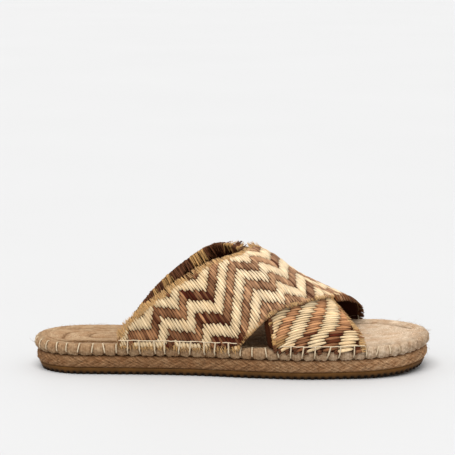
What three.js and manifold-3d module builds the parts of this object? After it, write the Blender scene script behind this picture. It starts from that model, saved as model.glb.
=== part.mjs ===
// Espadrille slide for a right foot: two crossed woven straps on a jute sole with a rubber bottom.
// Millimetres. +X points to the toe, +Y to the big toe's side and +Z up.
// The origin is on the ground, under the middle of the sole.

import * as THREE from "three";
import { mergeVertices } from "three/addons/utils/BufferGeometryUtils.js";
import Module from "manifold-3d";

const wasm = await Module();
wasm.setup();

// Sizes of the sole
const soleLength = 258;
const ballWidth = 92;
const heelWidth = 60;
const heelRoundLength = 34;
const toeRoundLength = 52;
const endSquareness = 2.2;
const toeSpring = 3;
const toeSpringLength = 76;
const partClearance = 0.3;

// Rubber outsole
const outsoleThickness = 4.6;
const outsoleRibHeight = 2.2;
const outsoleRibPitch = 4.62;
const outsoleRibDepth = 0.9;
const outsoleBottomInset = 4.6;
const outsoleTopInset = 2.6;

// Lower jute layer, a flat coil seen on the side as one fat strand
const lowerJuteHeight = 8.1;
const lowerJuteInset = 1.1;
const lowerJuteBulge = 1.6;

// Rim rope that stands round the footbed
const rimWidth = 10;
const rimHeight = 8.8;

// Coiled jute footbed inside the rim
const footbedThickness = 7;
const footbedGrooveDepth = 0.8;
const footbedGrooveWidth = 1.8;
const coreHeelDistance = 52;
const coreToeDistance = 40;

// Woven straps
const strapWall = 1.8;
const strapTopHeight = 78;
const strapFootHeight = 19;
const strapFootStandout = 0.9;
const archSquareness = 2.4;
const instepCrestShift = 6;
const crossingOverlap = 0.6;
const crossingRise = 0.07;
const strandRelief = 0.5;
const fringeLength = 1;
const fringeSpread = 3;
const fringeWall = 1;
const weaveSkewAtRearFoot = 70;
const weaveSkewAtFrontFoot = 12;

// How finely the curved pieces are cut into flat faces
const soleSteps = 60;
const footbedSteps = 42;
const strapSteps = 68;
const strapRows = 7;

// Half-widths of the sole: 0 is half of the heel's width and 1 is half of the ball's
const soleOutline = [
  { along: 0.0, outer: -0.06, inner: -0.12 },
  { along: 0.15, outer: 0.03, inner: -0.03 },
  { along: 0.3, outer: 0.14, inner: -0.09 },
  { along: 0.42, outer: 0.34, inner: 0.0 },
  { along: 0.55, outer: 0.75, inner: 0.47 },
  { along: 0.68, outer: 1.0, inner: 0.97 },
  { along: 0.78, outer: 0.92, inner: 0.98 },
  { along: 0.88, outer: 0.84, inner: 0.98 },
  { along: 0.94, outer: 0.78, inner: 0.84 },
  { along: 1.0, outer: 0.44, inner: 0.52 },
];

// Height of the arch that the straps form, as a share of strapTopHeight
const archTop = [
  { along: 0.12, height: 1.13 },
  { along: 0.33, height: 1.08 },
  { along: 0.44, height: 1.045 },
  { along: 0.51, height: 1.0 },
  { along: 0.57, height: 0.96 },
  { along: 0.61, height: 0.89 },
  { along: 0.64, height: 0.808 },
  { along: 0.68, height: 0.722 },
  { along: 0.73, height: 0.638 },
  { along: 0.77, height: 0.574 },
  { along: 0.84, height: 0.463 },
  { along: 0.92, height: 0.36 },
];

// The long edges of a strap, from its rear foot at 0 over the arch to its front foot at 1.
// rear and front say where each edge is, as shares of the sole's length from the heel.
const overStrapEdges = [
  { across: 0.0, rear: 0.204, front: 0.512 },
  { across: 0.08, rear: 0.25, front: 0.57 },
  { across: 0.16, rear: 0.322, front: 0.62 },
  { across: 0.25, rear: 0.396, front: 0.674 },
  { across: 0.35, rear: 0.464, front: 0.72 },
  { across: 0.43, rear: 0.505, front: 0.752 },
  { across: 0.5, rear: 0.533, front: 0.775 },
  { across: 0.58, rear: 0.56, front: 0.797 },
  { across: 0.7, rear: 0.585, front: 0.818 },
  { across: 0.85, rear: 0.598, front: 0.83 },
  { across: 1.0, rear: 0.603, front: 0.828 },
];
const underStrapEdges = [
  { across: 0.0, rear: 0.23, front: 0.512 },
  { across: 0.08, rear: 0.278, front: 0.566 },
  { across: 0.16, rear: 0.33, front: 0.612 },
  { across: 0.25, rear: 0.387, front: 0.659 },
  { across: 0.35, rear: 0.436, front: 0.695 },
  { across: 0.43, rear: 0.47, front: 0.715 },
  { across: 0.5, rear: 0.503, front: 0.73 },
  { across: 0.58, rear: 0.54, front: 0.748 },
  { across: 0.7, rear: 0.58, front: 0.778 },
  { across: 0.85, rear: 0.598, front: 0.812 },
  { across: 1.0, rear: 0.604, front: 0.822 },
];

// Section of the rim rope: inward from the sole's outline and up from its seat, as shares
const rimSection = [
  { inward: 0.2, up: 0.0 },
  { inward: 0.03, up: 0.22 },
  { inward: 0.0, up: 0.45 },
  { inward: 0.05, up: 0.67 },
  { inward: 0.2, up: 0.88 },
  { inward: 0.45, up: 1.0 },
  { inward: 0.75, up: 0.95 },
  { inward: 0.96, up: 0.77 },
  { inward: 1.0, up: 0.0 },
];

// Heights of the layers, from the ground up
const lowerJuteBase = outsoleThickness + partClearance;
const rimBase = lowerJuteBase + lowerJuteHeight + partClearance;

// A smooth curve through one column of a table, with slopes taken from neighbouring rows
function readTable(table, key, column, at) {
  const last = table.length - 1;
  const i = Math.min(Math.max(table.findIndex((row) => row[key] > at) - 1, 0), last - 1);
  const row = at >= table[last][key] ? last - 1 : i;
  const slope = (j) => {
    const a = table[Math.max(j - 1, 0)];
    const b = table[Math.min(j + 1, last)];
    return (b[column] - a[column]) / (b[key] - a[key]);
  };
  const from = table[row];
  const to = table[row + 1];
  const span = to[key] - from[key];
  const t = THREE.MathUtils.clamp((at - from[key]) / span, 0, 1);
  const startWeight = (1 + 2 * t) * (1 - t) ** 2;
  const startSlope = t * (1 - t) ** 2 * span * slope(row);
  const endSlope = t * t * (t - 1) * span * slope(row + 1);
  return startWeight * from[column] + (1 - startWeight) * to[column] + startSlope + endSlope;
}

// How far a rounded end draws the outline in, from 0 at the tip to 1 where the rounding starts
function endRounding(distance, roundLength) {
  const rest = Math.max(1 - distance / roundLength, 0);
  return (1 - rest ** endSquareness) ** (1 / endSquareness);
}

// Half of the sole's width at x, on the outer (-Y) or inner (+Y) side
function halfWidth(x, side) {
  const fromHeel = THREE.MathUtils.clamp(x + soleLength / 2, 0, soleLength);
  const toBall = readTable(soleOutline, "along", side, fromHeel / soleLength);
  const width = THREE.MathUtils.lerp(heelWidth / 2, ballWidth / 2, toBall);
  return (
    width * endRounding(fromHeel, heelRoundLength) * endRounding(soleLength - fromHeel, toeRoundLength)
  );
}

// The lift of the sole towards the toe
function springAt(x) {
  const past = Math.max(x - (soleLength / 2 - toeSpringLength), 0);
  return toeSpring * (past / toeSpringLength) ** 2;
}

// One side of the outline from the toe to the heel, in equal steps, both ends included
function outlineSide(side, steps) {
  const sign = side === "inner" ? 1 : -1;
  const fine = [];
  const fineSteps = 720;
  for (let i = 0; i <= fineSteps; i++) {
    const x = (soleLength / 2) * Math.cos((Math.PI * i) / fineSteps);
    fine.push(new THREE.Vector2(x, sign * halfWidth(x, side)));
  }
  const lengths = [0];
  for (let i = 1; i <= fineSteps; i++) {
    lengths.push(lengths[i - 1] + fine[i].distanceTo(fine[i - 1]));
  }
  const points = [];
  let j = 0;
  for (let i = 0; i <= steps; i++) {
    const goal = (lengths[fineSteps] * i) / steps;
    while (j < fineSteps - 1 && lengths[j + 1] < goal) j++;
    const share = (goal - lengths[j]) / (lengths[j + 1] - lengths[j]);
    points.push(fine[j].clone().lerp(fine[j + 1], share));
  }
  return points;
}

// The whole outline as a loop of 2 x steps points: toe, inner side, heel, outer side
function outlineLoop(steps) {
  const inner = outlineSide("inner", steps);
  const outer = outlineSide("outer", steps).slice(1, -1).reverse();
  return [...inner, ...outer];
}

// The outline drawn in by an inset, at a height above the ground plus the toe's lift
function insetRing(loop, inset, height) {
  const count = loop.length;
  return loop.map((point, i) => {
    const along = loop[(i + 1) % count].clone().sub(loop[(i + count - 1) % count]).normalize();
    const d = typeof inset === "function" ? inset(i) : inset;
    const x = point.x - along.y * d;
    return new THREE.Vector3(x, point.y + along.x * d, height + springAt(x));
  });
}

// A mesh from points and triangles, with shared points merged and flat triangles dropped
function closedGeometry(points, triangles) {
  const positions = new Float32Array(points.flatMap((p) => [p.x, p.y, p.z]));
  const raw = new THREE.BufferGeometry();
  raw.setAttribute("position", new THREE.BufferAttribute(positions, 3));
  raw.setIndex(triangles.flat());
  const merged = mergeVertices(raw, 1e-3);
  const index = merged.index.array;
  const kept = [];
  for (let i = 0; i < index.length; i += 3) {
    const [a, b, c] = [index[i], index[i + 1], index[i + 2]];
    if (a !== b && b !== c && c !== a) kept.push(a, b, c);
  }
  merged.setIndex(kept);
  return merged;
}

// Triangles between two loops of equal length; the second lies above or outside the first
function bandTriangles(lower, upper, count) {
  const triangles = [];
  for (let i = 0; i < count; i++) {
    const next = (i + 1) % count;
    triangles.push([lower + i, lower + next, upper + next], [lower + i, upper + next, upper + i]);
  }
  return triangles;
}

// Triangles across the inside of a loop, as strips between its inner and outer side
function capTriangles(start, count, facingUp) {
  const triangles = [];
  for (let i = 0; i < count / 2; i++) {
    const a = start + i;
    const b = start + i + 1;
    const c = start + ((count - i - 1) % count);
    const d = start + ((count - i) % count);
    triangles.push([a, b, c], [a, c, d]);
  }
  return facingUp ? triangles : triangles.map(([a, b, c]) => [a, c, b]);
}

// A solid from rings stacked upwards
function stackedRings(rings) {
  const count = rings[0].length;
  const triangles = capTriangles(0, count, false);
  for (let i = 0; i + 1 < rings.length; i++) {
    triangles.push(...bandTriangles(i * count, (i + 1) * count, count));
  }
  triangles.push(...capTriangles((rings.length - 1) * count, count, true));
  return closedGeometry(rings.flat(), triangles);
}

// Points on the straight core of the coil, one for each point of the outline
function coreRing(loop, height) {
  const start = coreHeelDistance - soleLength / 2;
  const end = soleLength / 2 - coreToeDistance;
  return loop.map((point, i) => {
    const opposite = loop[(loop.length - i) % loop.length];
    const x = THREE.MathUtils.clamp((point.x + opposite.x) / 2, start, end);
    const middle = (halfWidth(x, "inner") - halfWidth(x, "outer")) / 2;
    return new THREE.Vector3(x, middle, height + springAt(x));
  });
}

// Rubber bottom, with ribs cut in its lower edge
function outsoleGeometry() {
  const sideLength = outlineSide("inner", soleSteps).reduce(
    (sum, p, i, all) => sum + (i ? p.distanceTo(all[i - 1]) : 0),
    0,
  );
  const ribs = 2 * Math.round(sideLength / outsoleRibPitch);
  const loop = outlineLoop(ribs);
  const ribInset = (i) => outsoleBottomInset + (i % 2 ? outsoleRibDepth : 0);
  const shoulderInset = THREE.MathUtils.lerp(outsoleBottomInset, outsoleTopInset, 0.62);
  return stackedRings([
    coreRing(loop, 0),
    insetRing(loop, ribInset, 0),
    insetRing(loop, shoulderInset, outsoleRibHeight),
    insetRing(loop, outsoleTopInset, outsoleThickness),
  ]);
}

// Lower jute layer with a bulging side
function lowerJuteGeometry() {
  const loop = outlineLoop(soleSteps);
  const sideSteps = 4;
  const rings = [];
  for (let i = 0; i <= sideSteps; i++) {
    const up = i / sideSteps;
    const inset = lowerJuteInset + lowerJuteBulge * (2 * up - 1) ** 2;
    rings.push(insetRing(loop, inset, lowerJuteBase + lowerJuteHeight * up));
  }
  return stackedRings(rings);
}

// Rim rope: its section carried once round the outline
function rimGeometry() {
  const loop = outlineLoop(soleSteps);
  const count = loop.length;
  const rings = rimSection.map(({ inward, up }) =>
    insetRing(loop, inward * rimWidth, rimBase + up * rimHeight),
  );
  const triangles = [];
  for (let i = 0; i < rings.length; i++) {
    triangles.push(...bandTriangles(i * count, ((i + 1) % rings.length) * count, count));
  }
  return closedGeometry(rings.flat(), triangles);
}

// Footbed: rings of braid coiled round a straight core, with a groove between turns
function footbedGeometry() {
  const loop = outlineLoop(footbedSteps);
  const top = rimBase + footbedThickness;
  const edge = insetRing(loop, rimWidth + partClearance, top);
  const count = loop.length;
  const core = coreRing(loop, top);
  const halfSpan = (heelWidth / 2 + ballWidth / 2) / 2 - rimWidth;
  const grooveShare = footbedGrooveWidth / 2 / halfSpan;
  const turns = [0.37, 0.7];
  const steps = [{ share: 1, drop: 0 }];
  for (const turn of [...turns].reverse()) {
    steps.push({ share: turn + grooveShare, drop: 0 });
    steps.push({ share: turn, drop: footbedGrooveDepth });
    steps.push({ share: turn - grooveShare, drop: 0 });
  }
  steps.push({ share: 0, drop: 0 });
  const rings = [insetRing(loop, rimWidth + partClearance, rimBase)];
  for (const { share, drop } of steps) {
    rings.push(
      core.map((point, i) => {
        const p = point.clone().lerp(edge[i], share);
        return p.setZ(p.z - drop);
      }),
    );
  }
  const triangles = capTriangles(0, count, false);
  for (let i = 0; i + 1 < rings.length; i++) {
    triangles.push(...bandTriangles(i * count, (i + 1) * count, count));
  }
  return closedGeometry(rings.flat(), triangles);
}

// A point of the arch at a share across it, from one rim to the other. Its crest lies towards the
// big toe's side. Below the rims the wall goes straight down, so that a strap is cut off level there.
function archPoint(across, x, rearFootSide) {
  const frontFootSide = rearFootSide === "outer" ? "inner" : "outer";
  const side = across < 0.5 ? rearFootSide : frontFootSide;
  const sign = side === "inner" ? 1 : -1;
  const along = x / soleLength + 0.5;
  const top = strapTopHeight * readTable(archTop, "along", "height", along);
  const width = halfWidth(x, side) + strapFootStandout;
  const angle = Math.PI * THREE.MathUtils.clamp(across, 0, 1);
  const below = Math.max(-across, across - 1, 0) * strapTopHeight * 2;
  const reach = (sign * width - instepCrestShift) * Math.abs(Math.cos(angle)) ** (2 / archSquareness);
  const rise = (top - strapFootHeight) * Math.abs(Math.sin(angle)) ** (2 / archSquareness);
  return new THREE.Vector3(x, instepCrestShift + reach, strapFootHeight + rise - below);
}

// One long edge of a strap as points with their share across, x and length from the rear foot
function edgeTrack(strap, column) {
  const fineSteps = 400;
  const reach = 0.6;
  const { edges } = strap;
  const slopeStart = (edges[1][column] - edges[0][column]) / edges[1].across;
  const last = edges.length - 1;
  const slopeEnd =
    (edges[last][column] - edges[last - 1][column]) / (1 - edges[last - 1].across);
  const track = [];
  for (let i = 0; i <= fineSteps; i++) {
    const across = -reach + ((1 + 2 * reach) * i) / fineSteps;
    const inside = THREE.MathUtils.clamp(across, 0, 1);
    const slope = across < 0 ? slopeStart / 2 : slopeEnd;
    const share = readTable(edges, "across", column, inside) + (across - inside) * slope;
    const x = (share - 0.5) * soleLength;
    const point = archPoint(across, x, strap.rearFootSide);
    const step = i ? point.distanceTo(track[i - 1].point) : 0;
    track.push({ across, x, point, length: i ? track[i - 1].length + step : 0 });
  }
  const start = lengthWhere(track, 0);
  const end = lengthWhere(track, 1);
  track.forEach((row) => (row.length -= start));
  return { track, length: end - start };
}

// The length along a track where it reaches a share across
function lengthWhere(track, across) {
  const i = Math.max(track.findIndex((row) => row.across >= across - 1e-9), 1);
  const [a, b] = [track[i - 1], track[i]];
  return THREE.MathUtils.lerp(a.length, b.length, (across - a.across) / (b.across - a.across));
}

// The share across and the x of a track at a length from the rear foot
function trackAt({ track }, length) {
  const i = Math.min(Math.max(track.findIndex((row) => row.length > length), 1), track.length - 1);
  const [a, b] = [track[i - 1], track[i]];
  const share = (length - a.length) / (b.length - a.length);
  return {
    across: THREE.MathUtils.lerp(a.across, b.across, share),
    x: THREE.MathUtils.lerp(a.x, b.x, share),
  };
}

// How far the over strap is carried by the under strap: 0 at the feet, 1 over the arch
function carriedShare(across) {
  const near = THREE.MathUtils.smoothstep(across, 0, crossingRise);
  return near * THREE.MathUtils.smoothstep(1 - across, 0, crossingRise);
}

// The middle of a strap's wall. along runs from 0 to 1 down its length, and each value is one
// strand of the weave; from is the place on that strand, in shares from rear to front edge.
function strapPoint(strap, along, from) {
  const rear = trackAt(strap.rear, along * (strap.rear.length + weaveSkewAtFrontFoot));
  const frontSpan = strap.front.length + weaveSkewAtRearFoot;
  const front = trackAt(strap.front, along * frontSpan - weaveSkewAtRearFoot);
  const across = THREE.MathUtils.lerp(rear.across, front.across, from);
  const x = THREE.MathUtils.lerp(rear.x, front.x, from);
  const point = archPoint(across, x, strap.rearFootSide);
  return { point, lift: strap.lift * carriedShare(across) };
}

// Point and outward direction of a strap's middle surface
function strapFrame(strap, along, from) {
  const step = 0.004;
  const here = strapPoint(strap, along, from);
  const ahead = strapPoint(strap, along + step, from).point;
  const behind = strapPoint(strap, along - step, from).point;
  const fore = strapPoint(strap, along, from + step).point;
  const aft = strapPoint(strap, along, from - step).point;
  const normal = ahead.sub(behind).cross(fore.sub(aft)).normalize();
  if (strap.rearFootSide === "outer") normal.negate();
  return { point: here.point.addScaledVector(normal, here.lift), normal };
}

// Length of the frayed strands at one step of a strap, uneven but the same each time
function frayedLength(step) {
  const uneven = Math.abs(Math.sin(step * 12.9898) * 43758.5453) % 1;
  return fringeLength + (step % 2 ? fringeSpread * (0.45 + 0.55 * uneven) : 0);
}

// One strap as a closed shell with every other strand raised, frayed along both long edges
function strapSolid(strap) {
  const columns = [];
  for (let i = 0; i <= strapSteps; i++) {
    const along = i / strapSteps;
    const rearPoint = strapPoint(strap, along, 0).point;
    const strandLength = rearPoint.distanceTo(strapPoint(strap, along, 1).point);
    const fray = frayedLength(i) / strandLength;
    const raised = i % 2 ? strandRelief : 0;
    const places = [{ from: -fray, wall: fringeWall, raised: 0 }];
    for (let j = 0; j <= strapRows; j++) {
      places.push({ from: j / strapRows, wall: strapWall, raised });
    }
    places.push({ from: 1 + fray, wall: fringeWall, raised: 0 });
    columns.push(
      places.map((place) => {
        const { point, normal } = strapFrame(strap, along, place.from);
        return {
          outside: point.clone().addScaledVector(normal, place.wall / 2 + place.raised),
          inside: point.clone().addScaledVector(normal, -place.wall / 2),
        };
      }),
    );
  }
  const rows = columns[0].length;
  const ringLength = 2 * rows;
  const points = columns.flatMap((column) => [
    ...column.map((place) => place.outside),
    ...column.map((place) => place.inside).reverse(),
  ]);
  const triangles = [];
  for (let i = 0; i < strapSteps; i++) {
    triangles.push(...bandTriangles(i * ringLength, (i + 1) * ringLength, ringLength));
  }
  const lastRing = strapSteps * ringLength;
  for (let j = 0; j + 1 < rows; j++) {
    const a = j;
    const b = j + 1;
    const c = ringLength - 2 - j;
    const d = ringLength - 1 - j;
    triangles.push([a, c, b], [a, d, c]);
    triangles.push([lastRing + a, lastRing + b, lastRing + c]);
    triangles.push([lastRing + a, lastRing + c, lastRing + d]);
  }
  const geometry = closedGeometry(points, triangles);
  const solid = manifoldOf(geometry);
  return solid.volume() > 0 ? solid : manifoldOf(turnedInsideOut(geometry));
}

// The same geometry with each face turned round
function turnedInsideOut(geometry) {
  const index = Array.from(geometry.index.array);
  for (let i = 0; i < index.length; i += 3) {
    [index[i + 1], index[i + 2]] = [index[i + 2], index[i + 1]];
  }
  return geometry.clone().setIndex(index);
}

function manifoldOf(geometry) {
  return new wasm.Manifold(
    new wasm.Mesh({
      numProp: 3,
      vertProperties: geometry.getAttribute("position").array,
      triVerts: new Uint32Array(geometry.index.array),
    }),
  );
}

function geometryOf(solid) {
  const { vertProperties, triVerts } = solid.getMesh();
  const geometry = new THREE.BufferGeometry();
  geometry.setAttribute("position", new THREE.BufferAttribute(vertProperties, 3));
  geometry.setIndex(new THREE.BufferAttribute(triVerts, 1));
  return geometry;
}

// Both straps, joined where they cross and cut off level at their feet
function upperGeometry() {
  const over = { edges: overStrapEdges, rearFootSide: "outer", lift: strapWall - crossingOverlap };
  const under = { edges: underStrapEdges, rearFootSide: "inner", lift: 0 };
  for (const strap of [over, under]) {
    strap.rear = edgeTrack(strap, "rear");
    strap.front = edgeTrack(strap, "front");
  }
  const both = strapSolid(over).add(strapSolid(under));
  const depth = strapTopHeight * 2;
  const belowFeet = new THREE.BoxGeometry(2 * soleLength, 2 * ballWidth, depth);
  belowFeet.translate(0, 0, strapFootHeight - depth / 2);
  belowFeet.deleteAttribute("normal");
  belowFeet.deleteAttribute("uv");
  return geometryOf(both.subtract(manifoldOf(mergeVertices(belowFeet))));
}

function part(name, geometry, color, roughness) {
  geometry.computeVertexNormals();
  const material = new THREE.MeshStandardMaterial({ color, roughness, metalness: 0 });
  const mesh = new THREE.Mesh(geometry, material);
  mesh.name = name;
  return mesh;
}

const shoe = new THREE.Group();
shoe.add(
  part("outsole", outsoleGeometry(), 0x6a4d2c, 0.75),
  part("lower_jute", lowerJuteGeometry(), 0xa88868, 0.95),
  part("rim_rope", rimGeometry(), 0xb59a7c, 0.95),
  part("footbed", footbedGeometry(), 0xc3a284, 0.95),
  part("upper", upperGeometry(), 0xd8bd8a, 0.8),
);

export default shoe;
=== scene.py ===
"""Espadrille slide, right foot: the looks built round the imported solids.

Lengths inside the functions are millimetres in the shoe's own frame, with x from heel to toe,
y towards the big toe's side and z up; new_mesh turns them into metres. "inner" is the big toe's side.
"""
import math

import bmesh
import bpy
import numpy as np
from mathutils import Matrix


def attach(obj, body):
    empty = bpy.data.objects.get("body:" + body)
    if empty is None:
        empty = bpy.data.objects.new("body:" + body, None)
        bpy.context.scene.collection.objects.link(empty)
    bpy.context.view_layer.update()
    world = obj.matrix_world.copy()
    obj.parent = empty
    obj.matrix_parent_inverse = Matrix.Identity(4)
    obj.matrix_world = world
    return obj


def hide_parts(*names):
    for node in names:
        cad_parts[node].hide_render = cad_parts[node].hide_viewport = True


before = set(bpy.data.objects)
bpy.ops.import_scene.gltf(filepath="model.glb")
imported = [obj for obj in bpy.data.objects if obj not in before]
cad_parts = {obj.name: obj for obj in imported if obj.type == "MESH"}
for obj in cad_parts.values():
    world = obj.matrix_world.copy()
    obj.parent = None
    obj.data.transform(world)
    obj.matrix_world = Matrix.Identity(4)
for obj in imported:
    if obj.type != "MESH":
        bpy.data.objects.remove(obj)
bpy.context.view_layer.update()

bl_info = {
    "name": "Espadrille slide",
    "version": (1, 0, 0),
    "blender": (4, 5, 0),
    "location": "View3D > Sidebar > Espadrille",
    "description": "Dresses the packed solids of a woven espadrille slide",
    "category": "Object",
}

MM = 0.001
# Strength of the white air as a light, and as the camera sees it
AIR_LIGHT, AIR_SEEN = 0.78, 0.874
FLOOR_GREY, FLOOR_REACH = 0.566, 40.0
SUN_STRENGTH, SUN_SPREAD, SUN_TILT = 2.9, 42, (24, -6)
# The photo is square. Its pixel at the shoe's origin, the shoe's mm a pixel, the camera's pitch in
# degrees and its distance in metres
PHOTO_PIXELS, ORIGIN_PIXEL, MM_A_PIXEL = 455, (232.2, 365.2), 0.658
CAMERA_PITCH, CAMERA_DISTANCE, SENSOR = 9.05, 1.3, 36.0
# x in metres over which the jute turns from its darker heel colour to its paler toe colour
TOE_FADE = (0.01, 0.105)

# Sole outline, as in the part's source
LENGTH, BALL, HEEL = 258.0, 92.0, 60.0
HEEL_ROUND, TOE_ROUND, SQUARENESS = 34.0, 52.0, 2.2
SPRING, SPRING_LENGTH = 3.0, 76.0
OUTLINE_ALONG = np.array([0, 0.15, 0.3, 0.42, 0.55, 0.68, 0.78, 0.88, 0.94, 1])
OUTLINE = {
    "outer": np.array([-0.06, 0.03, 0.14, 0.34, 0.75, 1, 0.92, 0.84, 0.78, 0.44]),
    "inner": np.array([-0.12, -0.03, -0.09, 0, 0.47, 0.97, 0.98, 0.98, 0.84, 0.52]),
}

# Layers of the sole: height of the base above the ground and thickness
RUBBER_HEIGHT, RUBBER_RIB_HEIGHT, RUBBER_RIB_DEPTH, RUBBER_RIB_PITCH = 4.6, 2.2, 0.9, 4.62
RUBBER_BOTTOM_INSET, RUBBER_TOP_INSET = 4.6, 2.6
TIER_BASE, TIER_HEIGHT, TIER_INSET, TIER_BULGE = 4.9, 8.1, 1.1, 1.6
RIM_BASE, RIM_HEIGHT, RIM_WIDTH = 13.3, 8.8, 10.0
FOOTBED_TOP, FOOTBED_EDGE = 20.3, 10.3
CORE_HEEL, CORE_TOE = 52.0, 40.0
FOOTBED_TURNS = (0.37, 0.74)
# The stitch's bar: its height above the rim's base, how far in from the outline it lies, how far
# out a strap's foot carries it, how deep it is sunk elsewhere, and how far it climbs on each strap
BAR_HEIGHT, BAR_INSET, BAR_OUT, BAR_SUNK, BAR_CLIMB = 6.9, 3.4, 5.45, 1.8, {"over": 3.7, "under": 2.7}
# An upright's start and end along the rim's section, its rings, its depth in the rope at its ends
# and at the toe, and its length; then the length of a turn of the twist of uprights and bar
UPRIGHT_FROM, UPRIGHT_TO, UPRIGHT_RINGS = 1.7, 9.6, 15
UPRIGHT_DIVE, UPRIGHT_TOE_DIVE, UPRIGHT_LENGTH = 1.15, 1.3, 9.0
UPRIGHT_LAY, BAR_LAY, BAR_STEPS, BAR_SLIMNESS = 2.4, 2.6, 1100, 0.74
# The lining's outer face over the wall's middle at its edges, its rise within them, and its depth
LINING_EDGE, LINING_RISE, LINING_DEPTH = -0.15, 0.45, 0.85
# Where the rim shows between the straps' outer feet, how far it is pressed down there and over what
# length, and how far it is pressed down on the outer side of the heel
NOTCH_X, NOTCH_DIP, NOTCH_LENGTH, HEEL_DIP = 15.0, 1.7, 19.0, 1.4
# Stretches in mm: start, end and the lengths over which they fade in and out. The three of the
# heel are counted from its middle towards the outer side, the rut from the toe's tip along the
# inner side, and the shade under the straps along x
HEEL_PRESSED, HEEL_JOINED, HEEL_SHADED = (10, 125, 25, 30), (-22, 42, 12, 14), (30, 150, 18, 40)
TOE_RUT, STRAP_SHADE = (14, 100, 10, 20), (-62, 52, 40, 40)
# Cross ribs of the ground side, and the points of the outline for each rib of the edge
GROUND_RIB_PITCH, GROUND_RIB_DEPTH, RIB_POINTS = 5.1, 0.7, 8

# Arch of the upper and the straps' edges, as in the part's source; the under strap's rear edge is
# drawn back a little above its outer foot, where the weave is pulled
ARCH_TOP, FOOT_HEIGHT, STANDOUT, ARCH_SQUARE, CREST = 78.0, 19.0, 0.9, 2.4, 6.0
ARCH_ALONG = np.array([0.12, 0.33, 0.44, 0.51, 0.57, 0.61, 0.64, 0.68, 0.73, 0.77, 0.84, 0.92])
ARCH_HEIGHT = np.array([1.13, 1.08, 1.045, 1, 0.96, 0.89, 0.808, 0.722, 0.638, 0.574, 0.463, 0.36])
ACROSS = np.array([0, 0.08, 0.16, 0.25, 0.35, 0.43, 0.5, 0.58, 0.7, 0.85, 1])
OVER_EDGES = {
    "rear": np.array([0.204, 0.25, 0.322, 0.396, 0.464, 0.505, 0.533, 0.56, 0.585, 0.598, 0.603]),
    "front": np.array([0.512, 0.57, 0.62, 0.674, 0.72, 0.752, 0.775, 0.797, 0.818, 0.83, 0.828]),
}
UNDER_EDGES = {
    "rear": np.array([0.23, 0.278, 0.33, 0.387, 0.436, 0.47, 0.503, 0.54, 0.574, 0.584, 0.604]),
    "front": np.array([0.512, 0.566, 0.612, 0.659, 0.695, 0.715, 0.73, 0.748, 0.778, 0.812, 0.822]),
}
SKEW_REAR, SKEW_FRONT = 70.0, 12.0
# The over strap's lift in mm where it crosses, and the share across the arch over which it rises
OVER_LIFT, RISE = 1.2, 0.07

# Zigzag of the weave, given as a chart. Columns: along the strap, the middle of a brown stripe in
# mm from the rear edge, and how dark its brown is from there to the next row
OVER_ZIGZAG = np.array([
    (0.0, 12, 0.8), (0.03, 19, 0.7), (0.08, 9, 0.5), (0.142, 20, 0.95), (0.183, 8.8, 0.72),
    (0.24, 20.5, 0.42), (0.27, 10.2, 1.0), (0.335, 21.2, 0.75), (0.365, 14, 0.3),
    (0.448, -6.8, 0.55), (0.497, 4.2, 0.3), (0.517, -2, 0.35), (0.573, 10.5, 0.75),
    (0.61, 2, 0.7), (0.66, -9, 0.4), (0.71, 2, 0.5), (0.732, -4, 0.4), (0.79, 7, 0.7),
    (0.88, -12, 0.5), (0.93, -1, 0.85), (0.95, -7, 0.6), (1.0, 4, 0.9),
])
UNDER_ZIGZAG = np.array([
    (0.0, 12, 0.8), (0.03, 19, 0.7), (0.08, 9, 0.5), (0.14, 20, 0.9), (0.18, 9, 0.7),
    (0.24, 20.5, 0.5), (0.27, 10, 0.95), (0.335, 21, 0.45), (0.45, -7, 0.7), (0.5, 4, 0.45),
    (0.52, -2, 0.5), (0.575, 10, 0.7), (0.66, -9, 0.6), (0.7, 0, 0.7), (0.72, -5, 0.5),
    (0.8, 6, 0.4), (0.845, -1.5, 0.25), (0.89, -8, 0.2), (0.915, -10, 0.45),
    (0.93, -11.6, 0.75), (0.945, -16.5, 0.9), (0.962, -18.8, 0.8), (1.0, -25, 0.8),
])
# Frayed raffia at each long edge: mean length in mm past the weave, and the angle in radians that
# it has turned round the edge at its tips
FRINGES = {
    "over": {"rear": (3.4, 0.3), "front": (2.6, 2.3)},
    "under": {"rear": (9.5, 3.1), "front": (2.6, 0.45)},
}
# Unwoven width in mm at the over strap's rear edge, wider at the crest of the instep
BARE_EDGE, BARE_CREST, BARE_CREST_PLACE = 3.0, 3.5, 0.5
# Places along the over strap's rear edge where the fringe stays brown, and the middle and half
# length of the stretch where it stands up
BROWN_TUFTS, STANDING_TUFT, STANDING_HALF = (0.1, 0.31), 0.61, 0.035
# Shares along a strap: before CORNER the rear fringe is longer, before CORNER_TIP longer still and
# before STRAYS it has strays; from FAR_FRONT on the over strap's front fringe is long and brown,
# and from NEAR_FOOT on the under strap's rear fringe is short
CORNER, CORNER_TIP, STRAYS, FAR_FRONT, NEAR_FOOT = 0.09, 0.045, 0.03, 0.7, 0.8
FAR_FRONT_REACH, FOOT_REACH, NEAR_FOOT_REACH = 4.6, 1.5, 1.6
# How far in mm the under strap's floats and fibres are carried on under the over strap
FLOATS_UNDER, FIBRES_UNDER = 5.0, 1.0
# Stripes of the under strap spread out by this share about a place in mm near its outer foot
FOOT_SPREAD, FOOT_SPREAD_ABOUT = 0.2, 21.4


def linear(*rgb):
    """A colour given as 0-255 screen values, as linear light with full alpha."""
    return tuple(((c / 255 + 0.055) / 1.055) ** 2.4 for c in rgb) + (1.0,)


# Sizes and colours


def length_setting(name, description, default, low, high):
    """A length in mm with its limits."""
    return bpy.props.FloatProperty(
        name=name, description=f"{description}, in mm", default=default, min=low, max=high)


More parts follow.
